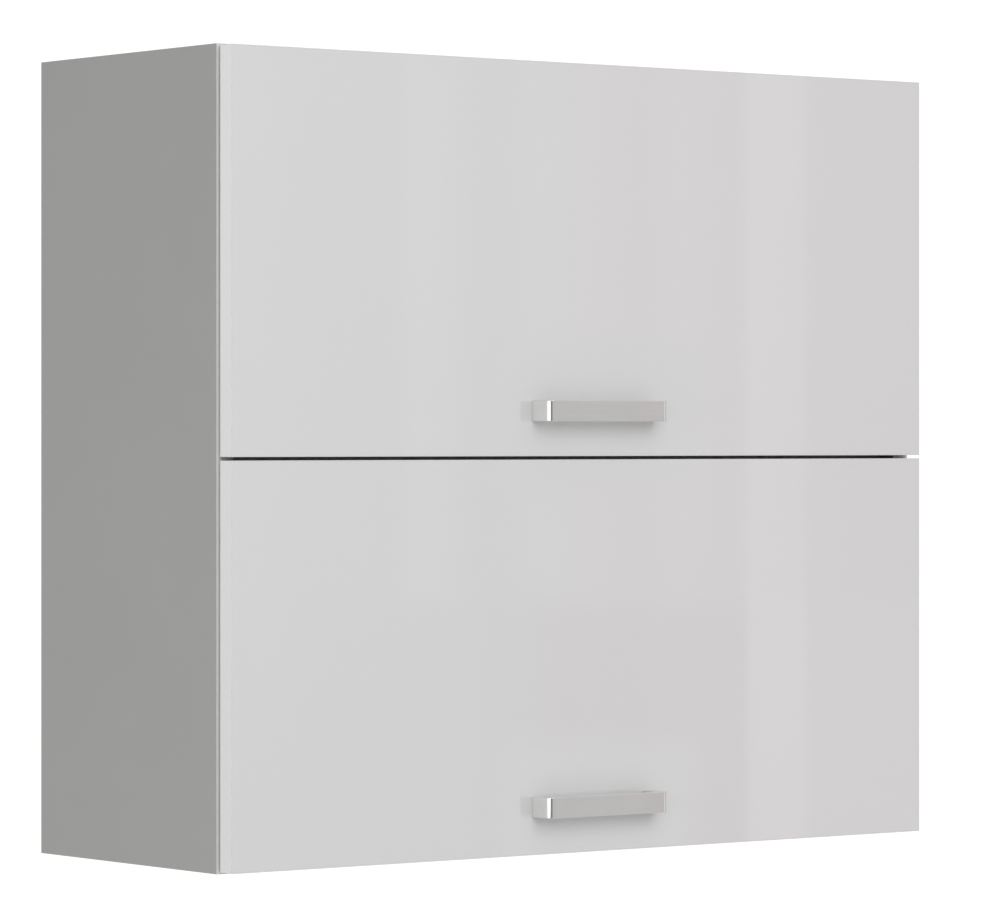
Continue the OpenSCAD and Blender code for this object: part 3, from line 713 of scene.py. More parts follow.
board("left_side_panel", -HALF, -IN_W, 0.8, CAB_D, 0, CAB_H, [(1, CAB_D, 1), (2, CAB_H, 1)])
board("right_side_panel", IN_W, HALF, 0.8, CAB_D, 0, CAB_H, [(1, CAB_D, 1), (2, CAB_H, 1)])
board("top_panel", -IN_W, IN_W, 0.8, CAB_D, TOP_Z, CAB_H, [(1, CAB_D, 1), (0, -IN_W, -1), (0, IN_W, 1)])
board("bottom_panel", -IN_W, IN_W, 0.8, CAB_D, 0, BOARD, [(1, CAB_D, 1), (0, -IN_W, -1), (0, IN_W, 1)])
board("middle_shelf", -IN_W, IN_W, 20.8, 266.5, SHELF_Z, SHELF_Z + BOARD, [(1, 266.5, 1), (0, -IN_W, -1), (0, IN_W, 1)])


def back_paint(f):
    c, n = f.calc_center_median(), f.normal
    if n.y > 0.9:
        return 1
    return 0 if n.y < -0.9 else 1


piece("back_panel_board", softened("back_panel", 0.2, 1, paint=back_paint), "back_panel", [M["back"], M["hard"]])

bands = Shape()
bands.add(both(brick(-HALF, -IN_W - 0.02, 0, 0.8, 0, CAB_H, 0.35, 3)))
bands.add(brick(-IN_W + 0.02, IN_W - 0.02, 0, 0.8, TOP_Z, CAB_H, 0.35, 3))
bands.add(brick(-IN_W + 0.02, IN_W - 0.02, 0, 0.8, 0, BOARD, 0.35, 3))
bands.add(brick(-IN_W + 0.02, IN_W - 0.02, 20, 20.8, SHELF_Z, SHELF_Z + BOARD, 0.35, 3))
piece("corpus_front_bands", bands, "corpus_edge_bands", [M["edge"]])

# ------------------------------------------------------------------ carcass joints
BOARD_MID = (9.0, 360.0, 711.0)
dowels = Shape()
for z in BOARD_MID:
    for y in (92, 194):
        prof = [(0, 0), (2.6, 0), (3.55, 0.9), (3.97, 2.0), (3.97, 27.0), (3.55, 28.1), (2.6, 29.0), (0, 29.0)]
        dowels.add(both(lathe(prof, (-IN_W - 9.5, y, z), "+x", n=60, wave=(15, 0.35))))
piece("fluted_dowels", dowels, "wooden_dowels", [M["beech"]], sharp=60, weighted=False)

piece("eccentric_cams", softened("cam_locks", 0.25, 2), "cam_locks", [M["cast"]])

bolts = Shape()
for z in BOARD_MID:
    for y in (50, 235):
        prof = [(0, -11), (1.6, -11), (2.0, -10.4)]
        h = -10.4
        while h < -1.0:
            prof += [(1.95, h + 0.25), (2.48, h + 0.75), (1.95, h + 1.25)]
            h += 1.4
        prof += [(2.3, -0.4), (2.4, 0), (3.55, 0), (3.6, 0.4), (3.6, 2.7), (3.4, 3.0), (2.0, 3.2), (1.98, 29.6), (1.7, 30.2), (3.05, 30.6), (3.1, 31.2), (3.1, 36.6), (2.7, 37.6), (1.6, 38.0), (0, 38.0)]
        bolts.add(both(lathe(prof, (-IN_W, y, z), "+x", n=24)))
piece("cam_dowel_bolts", bolts, "cam_bolts", [M["screw"]])

caps = Shape()
cap_prof = [(0, 0.86), (3, 0.85), (6.6, 0.80), (7.6, 0.74), (8.2, 0.5), (8.45, 0.2), (8.5, 0.0), (0, 0.0)]
for y in (50, 235):
    caps.add(both(lathe(cap_prof, (-IN_W + 34, y, BOARD), "+z", n=48)))
    caps.add(both(lathe(cap_prof, (-IN_W + 34, y, SHELF_Z), "-z", n=48)))
piece("cam_caps", caps, "cam_cover_caps", [M["cap"]])

# ------------------------------------------------------------------ hinges on the corpus


def at_hinges(shape, tops):
    out = Shape()
    for t in tops:
        for s in (-1, 1):
            out.add(shape.moved(s * HINGE_X, 0, t))
    return out


def hinge_plate(zf):
    wing = [(-16, 43), (-8, 43), (-8, 38), (8, 38), (8, 43), (16, 43), (23, 50), (16, 57), (8, 57), (8, 62), (-8, 62), (-8, 57), (-16, 57), (-23, 50)]
    wing = fillet(wing, [6, 2.5, 1.5, 1.5, 2.5, 6, 5, 6, 2.5, 1.5, 1.5, 2.5, 6, 5])
    s = slab([wing, circle(-16, 50, 1.9, 20)[::-1], circle(16, 50, 1.9, 20)[::-1]], "z", zf - 2, zf, 0.45)
    foot = fillet([(-9.5, 36), (9.5, 36), (9.5, 64), (-9.5, 64)], 2)
    s.add(slab([foot], "z", zf - 3.4, zf - 0.05, 0.6))
    rail = fillet([(-6.8, 32), (6.8, 32), (6.8, 68), (-6.8, 68)], [2.4] * 4)
    s.add(slab([rail, circle(0, 58, 2.5, 24)[::-1]], "z", -31, -28.6, 0.5))
    core = fillet([(-5.6, 33.4), (5.6, 33.4), (5.6, 66.6), (-5.6, 66.6)], [2.0] * 4)
    s.add(slab([core, circle(0, 58, 2.5, 24)[::-1]], "z", -29.0, zf - 0.1, 0.3))
    for y in (35.5, 42, 48.5, 62.8):
        s.add(brick(-6.6, 6.6, y, y + 1.6, -29.2, zf - 0.1, 0.25))
    return s


for which, top in (("upper", 718.5), ("lower", 358.5)):
    node = which + "_hinge_plates"
    piece(which + "_mounting_plates", at_hinges(hinge_plate(PLATE_FACE[which]), [top]), node, [M["cast"]])

s = Shape()
for which, top in (("upper", 718.5), ("lower", 358.5)):
    for sx in (-1, 1):
        for d in (-16, 16):
            one = screw(3.6, 1.6, 1.75, 12.5, 1.2).turned(AXES["-z"])
            s.add(one.moved(sx * HINGE_X + d, 50, top + PLATE_FACE[which] - 2))
piece("plate_screws", s, "hinge_plate_screws", [M["screw"]])


def hinge_arm():
    cheek = arc(A[0], A[1], 5, 90, 270, 12) + [(22, -41.5)]
    cheek += fillet([(22, -41.5), (72, -41.5), (72, -31), (33, -28.2), (24, -30.2), (19.5, -31)], [0, 2.2, 4, 8, 3, 1])[1:]
    hole = circle(A[0], A[1], 2.02, 20)[::-1]
    s = Shape()
    for x0 in (-8.2, 7.0):
        s.add(slab([cheek, hole], "x", x0, x0 + 1.2, 0.28))
    web = fillet([(-8.0, 24), (8.0, 24), (8.0, 72), (-8.0, 72)], [3.5, 3.5, 1.2, 1.2])
    clamp = capsule((0, 56.5), (0, 59.5), 2.75, 8)[::-1]
    s.add(slab([web, clamp, circle(0, 40, 2.15, 20)[::-1]], "z", -41.5, -40.3, 0.4))
    for x0, x1 in ((-8.1, -5.6), (5.6, 8.1)):
        rib = fillet([(x0, 46), (x1, 46), (x1, 52), (x0, 52)], 1.0)
        s.add(slab([rib], "z", -41.9, -41.0, 0.35))
    return s


piece("hinge_arm_channels", at_hinges(hinge_arm(), (718.5, 358.5)), "hinge_arms", [M["nickel"]])


def rivet(x0, x1, r, head=0.35):
    """A pin with softly upset ends."""
    w = x1 - x0
    return [(0, 0), (r * 0.7, 0.02), (r * 0.93, head * 0.45), (r, head), (r, w - head), (r * 0.93, w - head * 0.45), (r * 0.7, w - 0.02), (0, w)]


pins = at_hinges(lathe(rivet(-8.2, 8.2, 2.0), (-8.2, A[0], A[1]), "+x", n=24), (718.5, 358.5))
piece("arm_pins", pins, "hinge_arm_pins", [M["pin"]])
s = at_hinges(screw(5.0, 2.5, 2.5, 17.2, 0.9, "flat", True).turned(AXES["-z"]).moved(0, 58, -41.5), (718.5, 358.5))
piece("clamp_screws", s, "hinge_clamp_screws", [M["screw"]])
s = at_hinges(screw(3.4, 1.7, 2.0, 10.2, 0.8, "flat", True).turned(AXES["-z"]).moved(0, 40, -41.5), (718.5, 358.5))
piece("side_adjusting_screws", s, "hinge_adjusting_screws", [M["screw"]])

for which in ("upper", "lower"):
    piece(which + "_cranked_links", softened(which + "_hinge_links", 0.35, 2), which + "_hinge_links", [M["nickel"]])

# ------------------------------------------------------------------ hinges on the fronts
CUP_Z, EAR_Z = -22.0, -28.0


def flange_outline(n=160):
    """The cup's rim with its two screw ears, as seen from behind the front, in X and Z."""
    pts = []
    for k in range(n):
        a = 2 * math.pi * k / n
        d = Vector((math.cos(a), math.sin(a)))
        best = 18.0
        for sx in (-1, 1):
            for t in np.linspace(0, 1, 14):
                c = Vector((sx * (12 + 12 * t), EAR_Z - CUP_Z))
                along = c.dot(d)
                off = c.length_squared - along * along
                if off < 5.5 ** 2 and along > 0:
                    best = max(best, along + math.sqrt(5.5 ** 2 - off))
        pts.append(best)
    r = np.array(pts)
    for _ in range(2):
        r = (np.roll(r, 1) + 2 * r + np.roll(r, -1)) / 4
    return [(r[k] * math.cos(2 * math.pi * k / n), CUP_Z + r[k] * math.sin(2 * math.pi * k / n)) for k in range(n)]


def hinge_cup():
    d = 11.5
    shell = [(16.3, 0.0), (16.9, 0.35), (17.45, 0.2), (17.45, -d + 3.2), (16.7, -d + 1.2), (14.8, -d + 0.15), (13.2, -d), (0, -d)]
    inner = [(0, -d + 1.0), (13.0, -d + 1.0), (14.6, -d + 1.3), (15.7, -d + 2.5), (16.25, -d + 4.0), (16.25, -0.1), (16.3, 0.0)]
    s = lathe(inner[:-1] + shell, (0, Y_FB, CUP_Z), "+y", n=64)
    # The rim is full height but for a lower stretch at its top, over which the link swings.
    rim = flange_outline()
    full = [rim[k % 160] for k in range(52, 189)] + arc(0, CUP_Z, 16.4, 63, -243, 90)
    low = rim[27:54] + arc(0, CUP_Z, 16.4, 119.25, 60.75, 26)
    holes = [circle(sx * 24, EAR_Z, 1.9, 20)[::-1] for sx in (-1, 1)]
    s.add(slab([full] + holes, "y", Y_FB, Y_FB + 1.0, 0.3, 3))
    s.add(slab([low], "y", Y_FB, Y_FB + 0.5, 0.15, 2))
    for x in (-10, 7.2):
        w = math.sqrt(16.1 ** 2 - 10 ** 2)
        z0, z1 = max(B[1] - 4.5, CUP_Z - w), min(B[1] + 8, CUP_Z + w)
        yo, yi = B[0] + 3.4, Y_FB - d + 0.6
        outline = fillet([(yi, z0), (yo - 1.2, z0), (yo, z0 + 3), (yo, z1 - 2.5), (yo - 1.5, z1), (yi, z1)], [0.4, 2, 2, 2, 1, 0.4])
        s.add(slab([outline, circle(B[0], B[1], 1.52, 20)[::-1]], "x", x, x + 2.8, 0.4))
    return s


cup = hinge_cup()
for which, top in (("upper", 718.5), ("lower", 358.5)):
    piece(which + "_cups", at_hinges(cup, [top]), which + "_hinge_cups", [M["nickel"]])
    pins = at_hinges(lathe(rivet(-10, 10, 1.5, 0.3), (-10, B[0], B[1]), "+x", n=24), [top])
    piece(which + "_cup_pins", pins, which + "_hinge_cup_pins", [M["pin"]])
    s = Shape()
    for sx in (-1, 1):
        for dx in (-24, 24):
            s.add(screw(3.4, 0.9, 1.75, 13.0, 1.2, "pan", False, (3.6, 0.85, 0.7)).turned(AXES["+y"]).moved(sx * HINGE_X + dx, Y_FB + 1, top + EAR_Z))
    piece(which + "_cup_screws", s, which + "_hinge_cup_screws", [M["screw"]])

# ------------------------------------------------------------------ lift units, left side and one front's top edge, then mirrored
UY0, UY1, UZ0, UZ1 = P[0] - 30, P[0] + 80, P[1] - 30, P[1] + 30
UNIT_SCREWS = [(UY0 + 7, UZ0 + 7), (UY1 - 7, UZ1 - 7)]


def unit_outline(inset, r):
    return fillet([(UY0 + inset, UZ0 + inset), (UY1 - inset, UZ0 + inset), (UY1 - inset, UZ1 - inset), (UY0 + inset, UZ1 - inset)], r, 8)


def at_tops(shape, tops=(718.5, 358.5)):
    out = Shape()
    for t in tops:
        out.add(both(shape.moved(0, 0, t)))
    return out


base = slab([unit_outline(0, 5)], "x", X_BASE, X_BASE + 2.5, 0.3)
base.add(slab([unit_outline(0, 5), unit_outline(2.5, 2.5)[::-1]], "x", X_BASE + 2.1, X_COVER, 0.3))
base.add(lathe([(4.1, 0), (8, 0), (8, 8.0), (4.1, 8.0), (4.1, 0)], (X_BASE + 2, P[0], P[1]), "+x", n=40))
for c in UNIT_SCREWS:
    base.add(lathe([(1.8, 0), (4.8, 0), (4.8, 9), (1.8, 9), (1.8, 0)], (X_BASE + 2, c[0], c[1]), "+x", n=32))
for z in (P[1] - 17, P[1], P[1] + 17):
    base.add(brick(X_BASE + 2.3, X_BASE + 4.6, P[0] + 12, UY1 - 2.4, z - 0.8, z + 0.8, 0.2))
for y in np.arange(UY0 + 12, UY1 - 10, 8.0):
    base.add(brick(X_BASE + 1.2, X_COVER - 1.4, y, y + 3.2, UZ0 - 0.0, UZ0 + 1.0, 0.15))
piece("lift_housings", at_tops(base), "lift_unit_bases", [M["unit"]])

cover = slab([unit_outline(0, 5), circle(P[0], P[1], 4.4, 32)[::-1]] + [circle(c[0], c[1], 1.8, 20)[::-1] for c in UNIT_SCREWS], "x", X_COVER, X_COVER + 1.1, 0.45, 3)
panel = fillet([(UY0 + 16, UZ0 + 4), (UY1 - 4, UZ0 + 4), (UY1 - 4, UZ1 - 15), (UY1 - 15, UZ1 - 4), (UY0 + 4, UZ1 - 4), (UY0 + 4, UZ0 + 16)], [5, 4, 5, 5, 4, 5], 6)
cover.add(slab([panel, circle(P[0], P[1], 10.2, 48)[::-1]], "x", X_COVER + 0.9, X_COVER + 1.5, 0.3, 3))
cover.add(slab([circle(P[0], P[1], 8.8, 48), circle(P[0], P[1], 4.4, 32)[::-1]], "x", X_COVER + 0.9, X_COVER + 1.5, 0.3, 3))
for k in range(5):
    y = UY1 - 46 + k * 7
    cover.add(slab([capsule((y, UZ0 + 11), (y, UZ0 + 30), 1.3)], "x", X_COVER + 1.3, X_COVER + 1.85, 0.3, 2))
piece("lift_covers", at_tops(cover), "lift_unit_covers", [M["cover"]])

springs = Shape()
for z in (P[1] - 11, P[1] + 11):
    springs.add(coil(P[0] + 10, UY1 - 5, X_BASE + 6.6, z, 3.0, 0.6, 26))
piece("lift_springs", at_tops(springs), "lift_unit_springs", [M["spring"]], weighted=False, sharp=60)

s = Shape()
for c in UNIT_SCREWS:
    s.add(screw(3.4, 0.4, 1.75, 25.0, 1.3, "flat", False, (3.4, 0.9, 0.9)).turned(AXES["+x"]).moved(X_COVER + 1.5, c[0], c[1]))
piece("unit_fixing_screws", at_tops(s), "lift_unit_screws", [M["screw"]])


def lift_parts(which, top):
    lever = slab([capsule(P, K, 7, 16), circle(P[0], P[1], 4.0, 32)[::-1], circle(K[0], K[1], 3.0, 28)[::-1]], "x", X_LEVER, X_LEVER + 3, 0.5, 3)
    piece(which + "_levers", at_tops(lever, [top]), which + "_lift_levers", [M["zinc"]])
    w = X_LEVER + 3 - (X_BASE + 3)
    axle = lathe([(0, 0), (3.6, 0), (4.0, 0.4), (4.0, w - 0.9), (3.7, w - 0.3), (2.6, w - 0.02), (1.0, w - 0.25), (0, w - 0.3)], (X_BASE + 3, P[0], P[1]), "+x", n=32)
    piece(which + "_axles", at_tops(axle, [top]), which + "_lift_axles", [M["pin"]])
    w = X_ROD + 4 - X_LEVER
    knee = lathe([(0, 0), (2.7, 0), (3.0, 0.3), (3.0, w - 1.0), (4.3, w - 1.0), (4.5, w - 0.75), (4.3, w - 0.3), (3.4, w - 0.05), (0, w)], (X_LEVER, K[0], K[1]), "+x", n=32)
    piece(which + "_knee_rivets", at_tops(knee, [top]), which + "_knee_pins", [M["pin"]])
    rod = slab([capsule(K, Q, 5.5, 16), circle(K[0], K[1], 3.4, 28)[::-1], circle(Q[0], Q[1], 3.05, 28)[::-1]], "x", X_ROD, X_ROD + 2.5, 0.45, 3)
    piece(which + "_rods", at_tops(rod, [top]), which + "_lift_rods", [M["zinc"]])
    ear = arc(Q[0], Q[1], 7, -68, 68, 12) + fillet([(Q[0] + 2.6, Q[1] + 6.5), (Y_FB + 3.2, -71.5), (Y_FB + 0.4, -70.2), (Y_FB + 0.4, -109.8), (Y_FB + 3.2, -108.5), (Q[0] + 2.6, Q[1] - 6.5)], [0, 3, 1, 1, 3, 0])[1:-1]
    br = slab([ear, circle(Q[0], Q[1], 3.0, 28)[::-1]], "x", X_EAR, X_EAR + 2.5, 0.45, 3)
    foot = fillet([(X_EAR + 0.3, -112), (X_EAR + 18.5, -112), (X_EAR + 18.5, -68), (X_EAR + 0.3, -68)], [1.2, 4, 4, 1.2], 6)
    br.add(slab([foot] + [circle(X_EAR + 11.5, z, 1.85, 20)[::-1] for z in (-76, -104)], "y", Y_FB, Y_FB + 1.5, 0.4, 3))
    bend = [(X_EAR + 0.02, Y_FB + 0.3), (X_EAR + 2.4, Y_FB + 1.45), (X_EAR + 4.0, Y_FB + 1.45), (X_EAR + 2.5, Y_FB + 3.1), (X_EAR + 0.02, Y_FB + 3.1)]
    br.add(slab([bend], "z", -108.5, -71.5, 0.1, 1))
    piece(which + "_brackets", at_tops(br, [top]), which + "_lift_brackets", [M["zinc"]])
    w = X_EAR + 2.5 - (X_ROD - 1.3)
    pin = lathe([(0, 0), (3.2, 0.02), (4.2, 0.3), (4.4, 0.6), (4.3, 1.1), (3.0, 1.1), (3.0, w - 0.4), (2.6, w), (0, w)], (X_ROD - 1.3, Q[0], Q[1]), "+x", n=32)
    piece(which + "_bracket_rivets", at_tops(pin, [top]), which + "_lift_bracket_pins", [M["pin"]])
    sc = Shape()
    for z in (-76, -104):
        sc.add(screw(3.4, 1.5, 1.75, 13.5, 1.2).turned(AXES["+y"]).moved(X_EAR + 11.5, Y_FB + 1.5, z))
    piece(which + "_bracket_screws", at_tops(sc, [top]), which + "_lift_bracket_screws", [M["screw"]])


lift_parts("upper", 718.5)
lift_parts("lower", 358.5)

# ------------------------------------------------------------------ hangers
HZ, HX, HY = 690.0, -IN_W, Y_BACK - 37
hous = Shape()
x0, x1, y0, y1, z0, z1 = HX, HX + 26, HY, Y_BACK - 0.2, HZ - 50, HZ + 8
face = fillet([(x0, z0), (x1, z0), (x1, z1), (x0, z1)], [0.6, 3, 3, 0.6], 6)
adj = [circle(HX + 13, HZ + z, 3.15, 24)[::-1] for z in (-33, -10)]
hous.add(slab([face] + adj, "y", y0, y0 + 3, 0.6, 3))
ring = fillet([(x0 + 3, z0 + 3), (x1 - 3, z0 + 3), (x1 - 3, z1 - 3), (x0 + 3, z1 - 3)], 1.0)
hous.add(slab([face, ring[::-1]], "y", y0 + 2.6, y1, 0.5, 3))
for z in (-33, -10):
    hous.add(lathe([(4.9, 0), (6.4, 0), (6.4, 0.5), (6.1, 0.8), (5.2, 0.8), (4.9, 0.5), (4.9, 0)], (HX + 13, y0 + 0.02, HZ + z), "-y", n=40))
for z in (z0 + 16, z0 + 28, z0 + 40):
    hous.add(brick(x1 - 0.4, x1 + 0.0, y0 + 6, y1 - 5, z, z + 1.4, 0.15))
piece("hanger_boxes", both(hous), "hanger_housings", [M["hanger"]])

hook = fillet(
    [(Y_BACK - 17, HZ - 44), (Y_BACK - 14.5, HZ - 44), (Y_BACK - 14.5, HZ - 2.5), (CAB_D - 4.5, HZ - 2.5), (CAB_D - 4.5, HZ - 24), (CAB_D - 2, HZ - 24), (CAB_D - 2, HZ), (Y_BACK - 17, HZ)],
    [0.6, 0.6, 1.2, 1.2, 0.8, 0.8, 3.2, 3.2], 6)
piece("hanger_rail_hooks", both(slab([hook], "x", HX + 6, HX + 20, 0.4, 3)), "hanger_hooks", [M["zinc"]])
s, t = Shape(), Shape()
for z in (-33, -10):
    s.add(screw(4.6, 2.0, 3.0, 19.6, 1.2, "flat", True).turned(AXES["-y"]).moved(HX + 13, HY, HZ + z))
piece("hanger_adjusters", both(s), "hanger_adjusting_screws", [M["screw"]])
for y, z in ((HY + 13, HZ - 40), (HY + 13, HZ - 2)):
    t.add(screw(3.2, 1.5, 1.75, 14.5, 1.2).turned(AXES["+x"]).moved(HX + 3, y, z))
piece("hanger_fixings", both(t), "hanger_fixing_screws", [M["screw"]])

# ------------------------------------------------------------------ fronts
FW = 398.0
for which, (z0, z1) in FRONTS.items():
    lo, hi = (-FW + 1, Y_FF, z0 + 1), (FW - 1, Y_FB, z1 - 1)

    def outer(e):
        if e.calc_length() < 100:
            return False
        m = (e.verts[0].co + e.verts[1].co) / 2
        return sum(min(abs(m[i] - lo[i]), abs(m[i] - hi[i])) < 0.05 for i in range(3)) >= 2

    def paint(f):
        c, n = f.calc_center_median(), f.normal
        if n.y > 0.7 and c.y > Y_FB - 0.5:
            return 1
        if -0.5 < n.y < 0.7 and lo[0] + 5 < c.x < hi[0] - 5 and lo[2] + 2 < c.z < hi[2] - 2:
            return 2
        return 2 if n.y > 0.7 else 0

    s = softened(which + "_front", 0.04, 1, keep=outer, paint=paint)
    piece(which + "_front_board", s, which + "_front", [M["front"], M["front_rear"], M["chip"]])
    upright = fillet([(-FW, Y_FF), (-FW + 0.99, Y_FF), (-FW + 0.99, Y_FB), (-FW, Y_FB)], [0.4, 0, 0, 0.4], 6)
    s = both(slab([upright], "z", z0, z1, 0.3, 3))
    for z, inner in ((z0, z0 + 0.99), (z1, z1 - 0.99)):
        level = fillet([(Y_FF, z), (Y_FB, z), (Y_FB, inner), (Y_FF, inner)], [0.4, 0.4, 0, 0], 6)
        s.add(slab([level], "x", -FW + 1.005, FW - 1.005, 0.01, 1))
    piece(which + "_front_bands", s, which + "_front_edge_bands", [M["front_edge"]])
    dome = [(0, 1.5), (1.6, 1.46), (2.8, 1.2), (3.6, 0.75), (3.95, 0.3), (4.0, 0.0), (0, 0.0)]
    piece(which + "_buffers", both(lathe(dome, (-HALF + 9, Y_FB, z0 + 14), "+y", n=32)), which + "_front_buffers", [M["rubber"]])

# ------------------------------------------------------------------ handles


def bow_outline():
    """The strip's outline from above, in X and Y: two feet that lean in, and a bar between two bends."""
    l, yo, yi = 71.0, Y_FF - 24, Y_FF - 19
    pts = [(-l, Y_FF), (-l + 2.5, yo), (l - 2.5, yo), (l, Y_FF), (l - 14, Y_FF), (l - 11, yi), (-l + 11, yi), (-l + 14, Y_FF)]
    return fillet(pts, [0.7, 6.2, 6.2, 0.7, 1.0, 4.2, 4.2, 1.0], 10)


for which, hz in HANDLE_Z.items():
    bow = slab([bow_outline()], "z", hz - 9.5, hz + 9.5, 0.55, 4)
    piece(which + "_bow_handle", bow, which + "_handle", [M["chrome"]])
    s = Shape()
    for sx in (-1, 1):
        s.add(screw(4.0, 2.4, 2.0, 27.5, 0.8, "pan", True).turned(AXES["+y"]).moved(sx * 64, Y_FB, hz))
    piece(which + "_handle_fixings", s, which + "_handle_screws", [M["screw"]])

# ------------------------------------------------------------------ stage and light
WORLD = 1.0
scene = bpy.context.scene
scene.view_settings.view_transform = "Standard"
scene.view_settings.look = "None"

world = bpy.data.worlds.new("studio")
scene.world = world
world.use_nodes = True
wn = world.node_tree
wn.nodes.clear()


def wnode(kind, **inputs):
    n = wn.nodes.new(kind)
    for k, v in inputs.items():
        sock = n.inputs[int(k[1:])] if k[0] == "i" and k[1:].isdigit() else n.inputs[k.replace("_", " ")]
        if isinstance(v, bpy.types.NodeSocket):
            wn.links.new(v, sock)
        else:
            sock.default_value = v
    return n


def wmath(op, a, b=0.0):
    n = wnode("ShaderNodeMath", i0=a, i1=b)
    n.operation = op
    return n.outputs[0]


def wramp(source, stops):
    n = wnode("ShaderNodeValToRGB", Fac=source)
    els = n.color_ramp.elements
    while len(els) < len(stops):
        els.new(0.5)
    for el, (pos, col) in zip(els, stops):
        el.position = pos
        el.color = (*col, 1) if hasattr(col, "__len__") else (col, col, col, 1)
    return n.outputs["Color"]


direction = wnode("ShaderNodeSeparateXYZ", i0=wnode("ShaderNodeTexCoord").outputs["Generated"])
dx, dy, dz = direction.outputs
# By height: a darker belt under the horizon, an even wall above it, a bright ceiling.
height = wmath("MULTIPLY_ADD", dz, 0.5)
height.node.inputs[2].default_value = 0.5
by_height = wramp(height, [(0.0, 0.60), (0.40, 0.61), (0.470, 0.670), (0.495, 0.68), (0.510, 0.70), (0.60, 0.70), (0.75, 0.74), (1.0, 0.86)])
# By compass, as lighter and darker upright strips; degrees to the right of the front's normal.
azimuth = wmath("ARCTAN2", dx, wmath("MULTIPLY", dy, -1.0))
turn = wmath("MULTIPLY_ADD", azimuth, 1 / (2 * math.pi))
turn.node.inputs[2].default_value = 0.5
STRIPS = [
    (-180, 0.62), (-153, 0.62), (-151, 2.9), (-137, 2.9), (-135, 1.14), (-127.5, 1.11), (-126, 2.6), (-119, 2.6), (-117.5, 0.9), (-99, 0.72),
    (-92, 0.40), (-45, 0.45), (-38, 0.42), (-14, 0.42), (-7, 1.0), (33, 1.0), (45, (0.97, 0.94, 0.96)), (52, 1.0), (58, 1.5), (72, 1.6), (76, 0.9), (108, 0.85), (113, 1.4), (140, 1.35), (180, 0.7),
]
# Finer strips for the part that the fronts mirror towards the camera: one set above a level just under the horizon, one below it.
FINE_0, FINE_1 = 33.0, 45.0
FINE = [
    (33.0, 1.0), (34.30, 0.97), (34.70, 0.95), (35.05, 0.92), (36.17, 0.92), (36.22, 1.07), (36.62, 1.06), (37.02, 0.90), (37.45, 0.94), (37.62, 1.04), (38.02, 1.03),
    (38.16, (1.14, 0.97, 1.04)), (38.85, (1.03, 0.86, 0.94)), (39.30, (1.18, 0.99, 1.06)), (39.85, (1.07, 0.90, 0.98)), (40.04, (1.13, 0.93, 1.03)), (40.09, (1.47, 1.31, 1.32)),
    (40.22, (1.41, 1.20, 1.26)), (40.69, (1.38, 1.16, 1.23)), (40.75, (1.06, 0.89, 0.98)), (41.58, (1.03, 0.86, 0.95)), (45.0, (0.97, 0.81, 0.89)),
]
LOW = [
    (33.0, 0.94), (34.90, 0.91), (35.20, 0.87), (37.00, 0.90), (37.06, 0.79), (37.74, 0.80), (37.79, (0.91, 0.68, 0.76)), (38.85, (0.89, 0.66, 0.74)), (38.95, (0.96, 0.72, 0.80)),
    (40.04, (0.97, 0.73, 0.81)), (40.09, (1.49, 1.24, 1.32)), (40.69, (1.50, 1.25, 1.33)), (40.75, (1.12, 0.96, 0.96)), (45.0, (1.12, 0.96, 0.96)),
]


def compass(stops, lo, hi):
    return [((d - lo) / (hi - lo), tuple(c / 4 for c in v) if hasattr(v, "__len__") else v / 4) for d, v in stops]


by_compass = wramp(turn, compass(STRIPS, -180, 180))
fine_at = wnode("ShaderNodeMapRange", Value=wmath("DEGREES", azimuth), From_Min=FINE_0, From_Max=FINE_1, To_Min=0.0, To_Max=1.0)
in_fine = wmath("MULTIPLY", wmath("GREATER_THAN", wmath("DEGREES", azimuth), FINE_0), wmath("LESS_THAN", wmath("DEGREES", azimuth), FINE_1))
steep = wnode("ShaderNodeMapRange", Value=wmath("ABSOLUTE", dz), From_Min=0.09, From_Max=0.24, To_Min=0.0, To_Max=1.0)
steep.interpolation_type = "SMOOTHSTEP"


def wmix(kind, fac, a, b):
    n = wn.nodes.new("ShaderNodeMix")
    n.data_type, n.blend_type = "RGBA", kind
    for name, v in (("Factor", fac), ("A", a), ("B", b)):
        sock = [i for i in n.inputs if i.name == name and i.type == ("VALUE" if name == "Factor" else "RGBA")][0]
        if isinstance(v, bpy.types.NodeSocket):
            wn.links.new(v, sock)
        else:
            sock.default_value = v
    return [o for o in n.outputs if o.type == "RGBA"][0]


level_at = wnode("ShaderNodeMapRange", Value=dz, From_Min=-0.036, From_Max=-0.029, To_Min=0.0, To_Max=1.0)
level_at.interpolation_type = "SMOOTHSTEP"
mirrored = wmix("MIX", level_at.outputs[0], wramp(fine_at.outputs[0], compass(LOW, FINE_0, FINE_1)), wramp(fine_at.outputs[0], compass(FINE, FINE_0, FINE_1)))


def fade(source, a, b, up=True):
    n = wnode("ShaderNodeMapRange", Value=source, From_Min=a, From_Max=b, To_Min=0.0 if up else 1.0, To_Max=1.0 if up else 0.0)
    n.interpolation_type = "SMOOTHSTEP"
    return n.outputs[0]


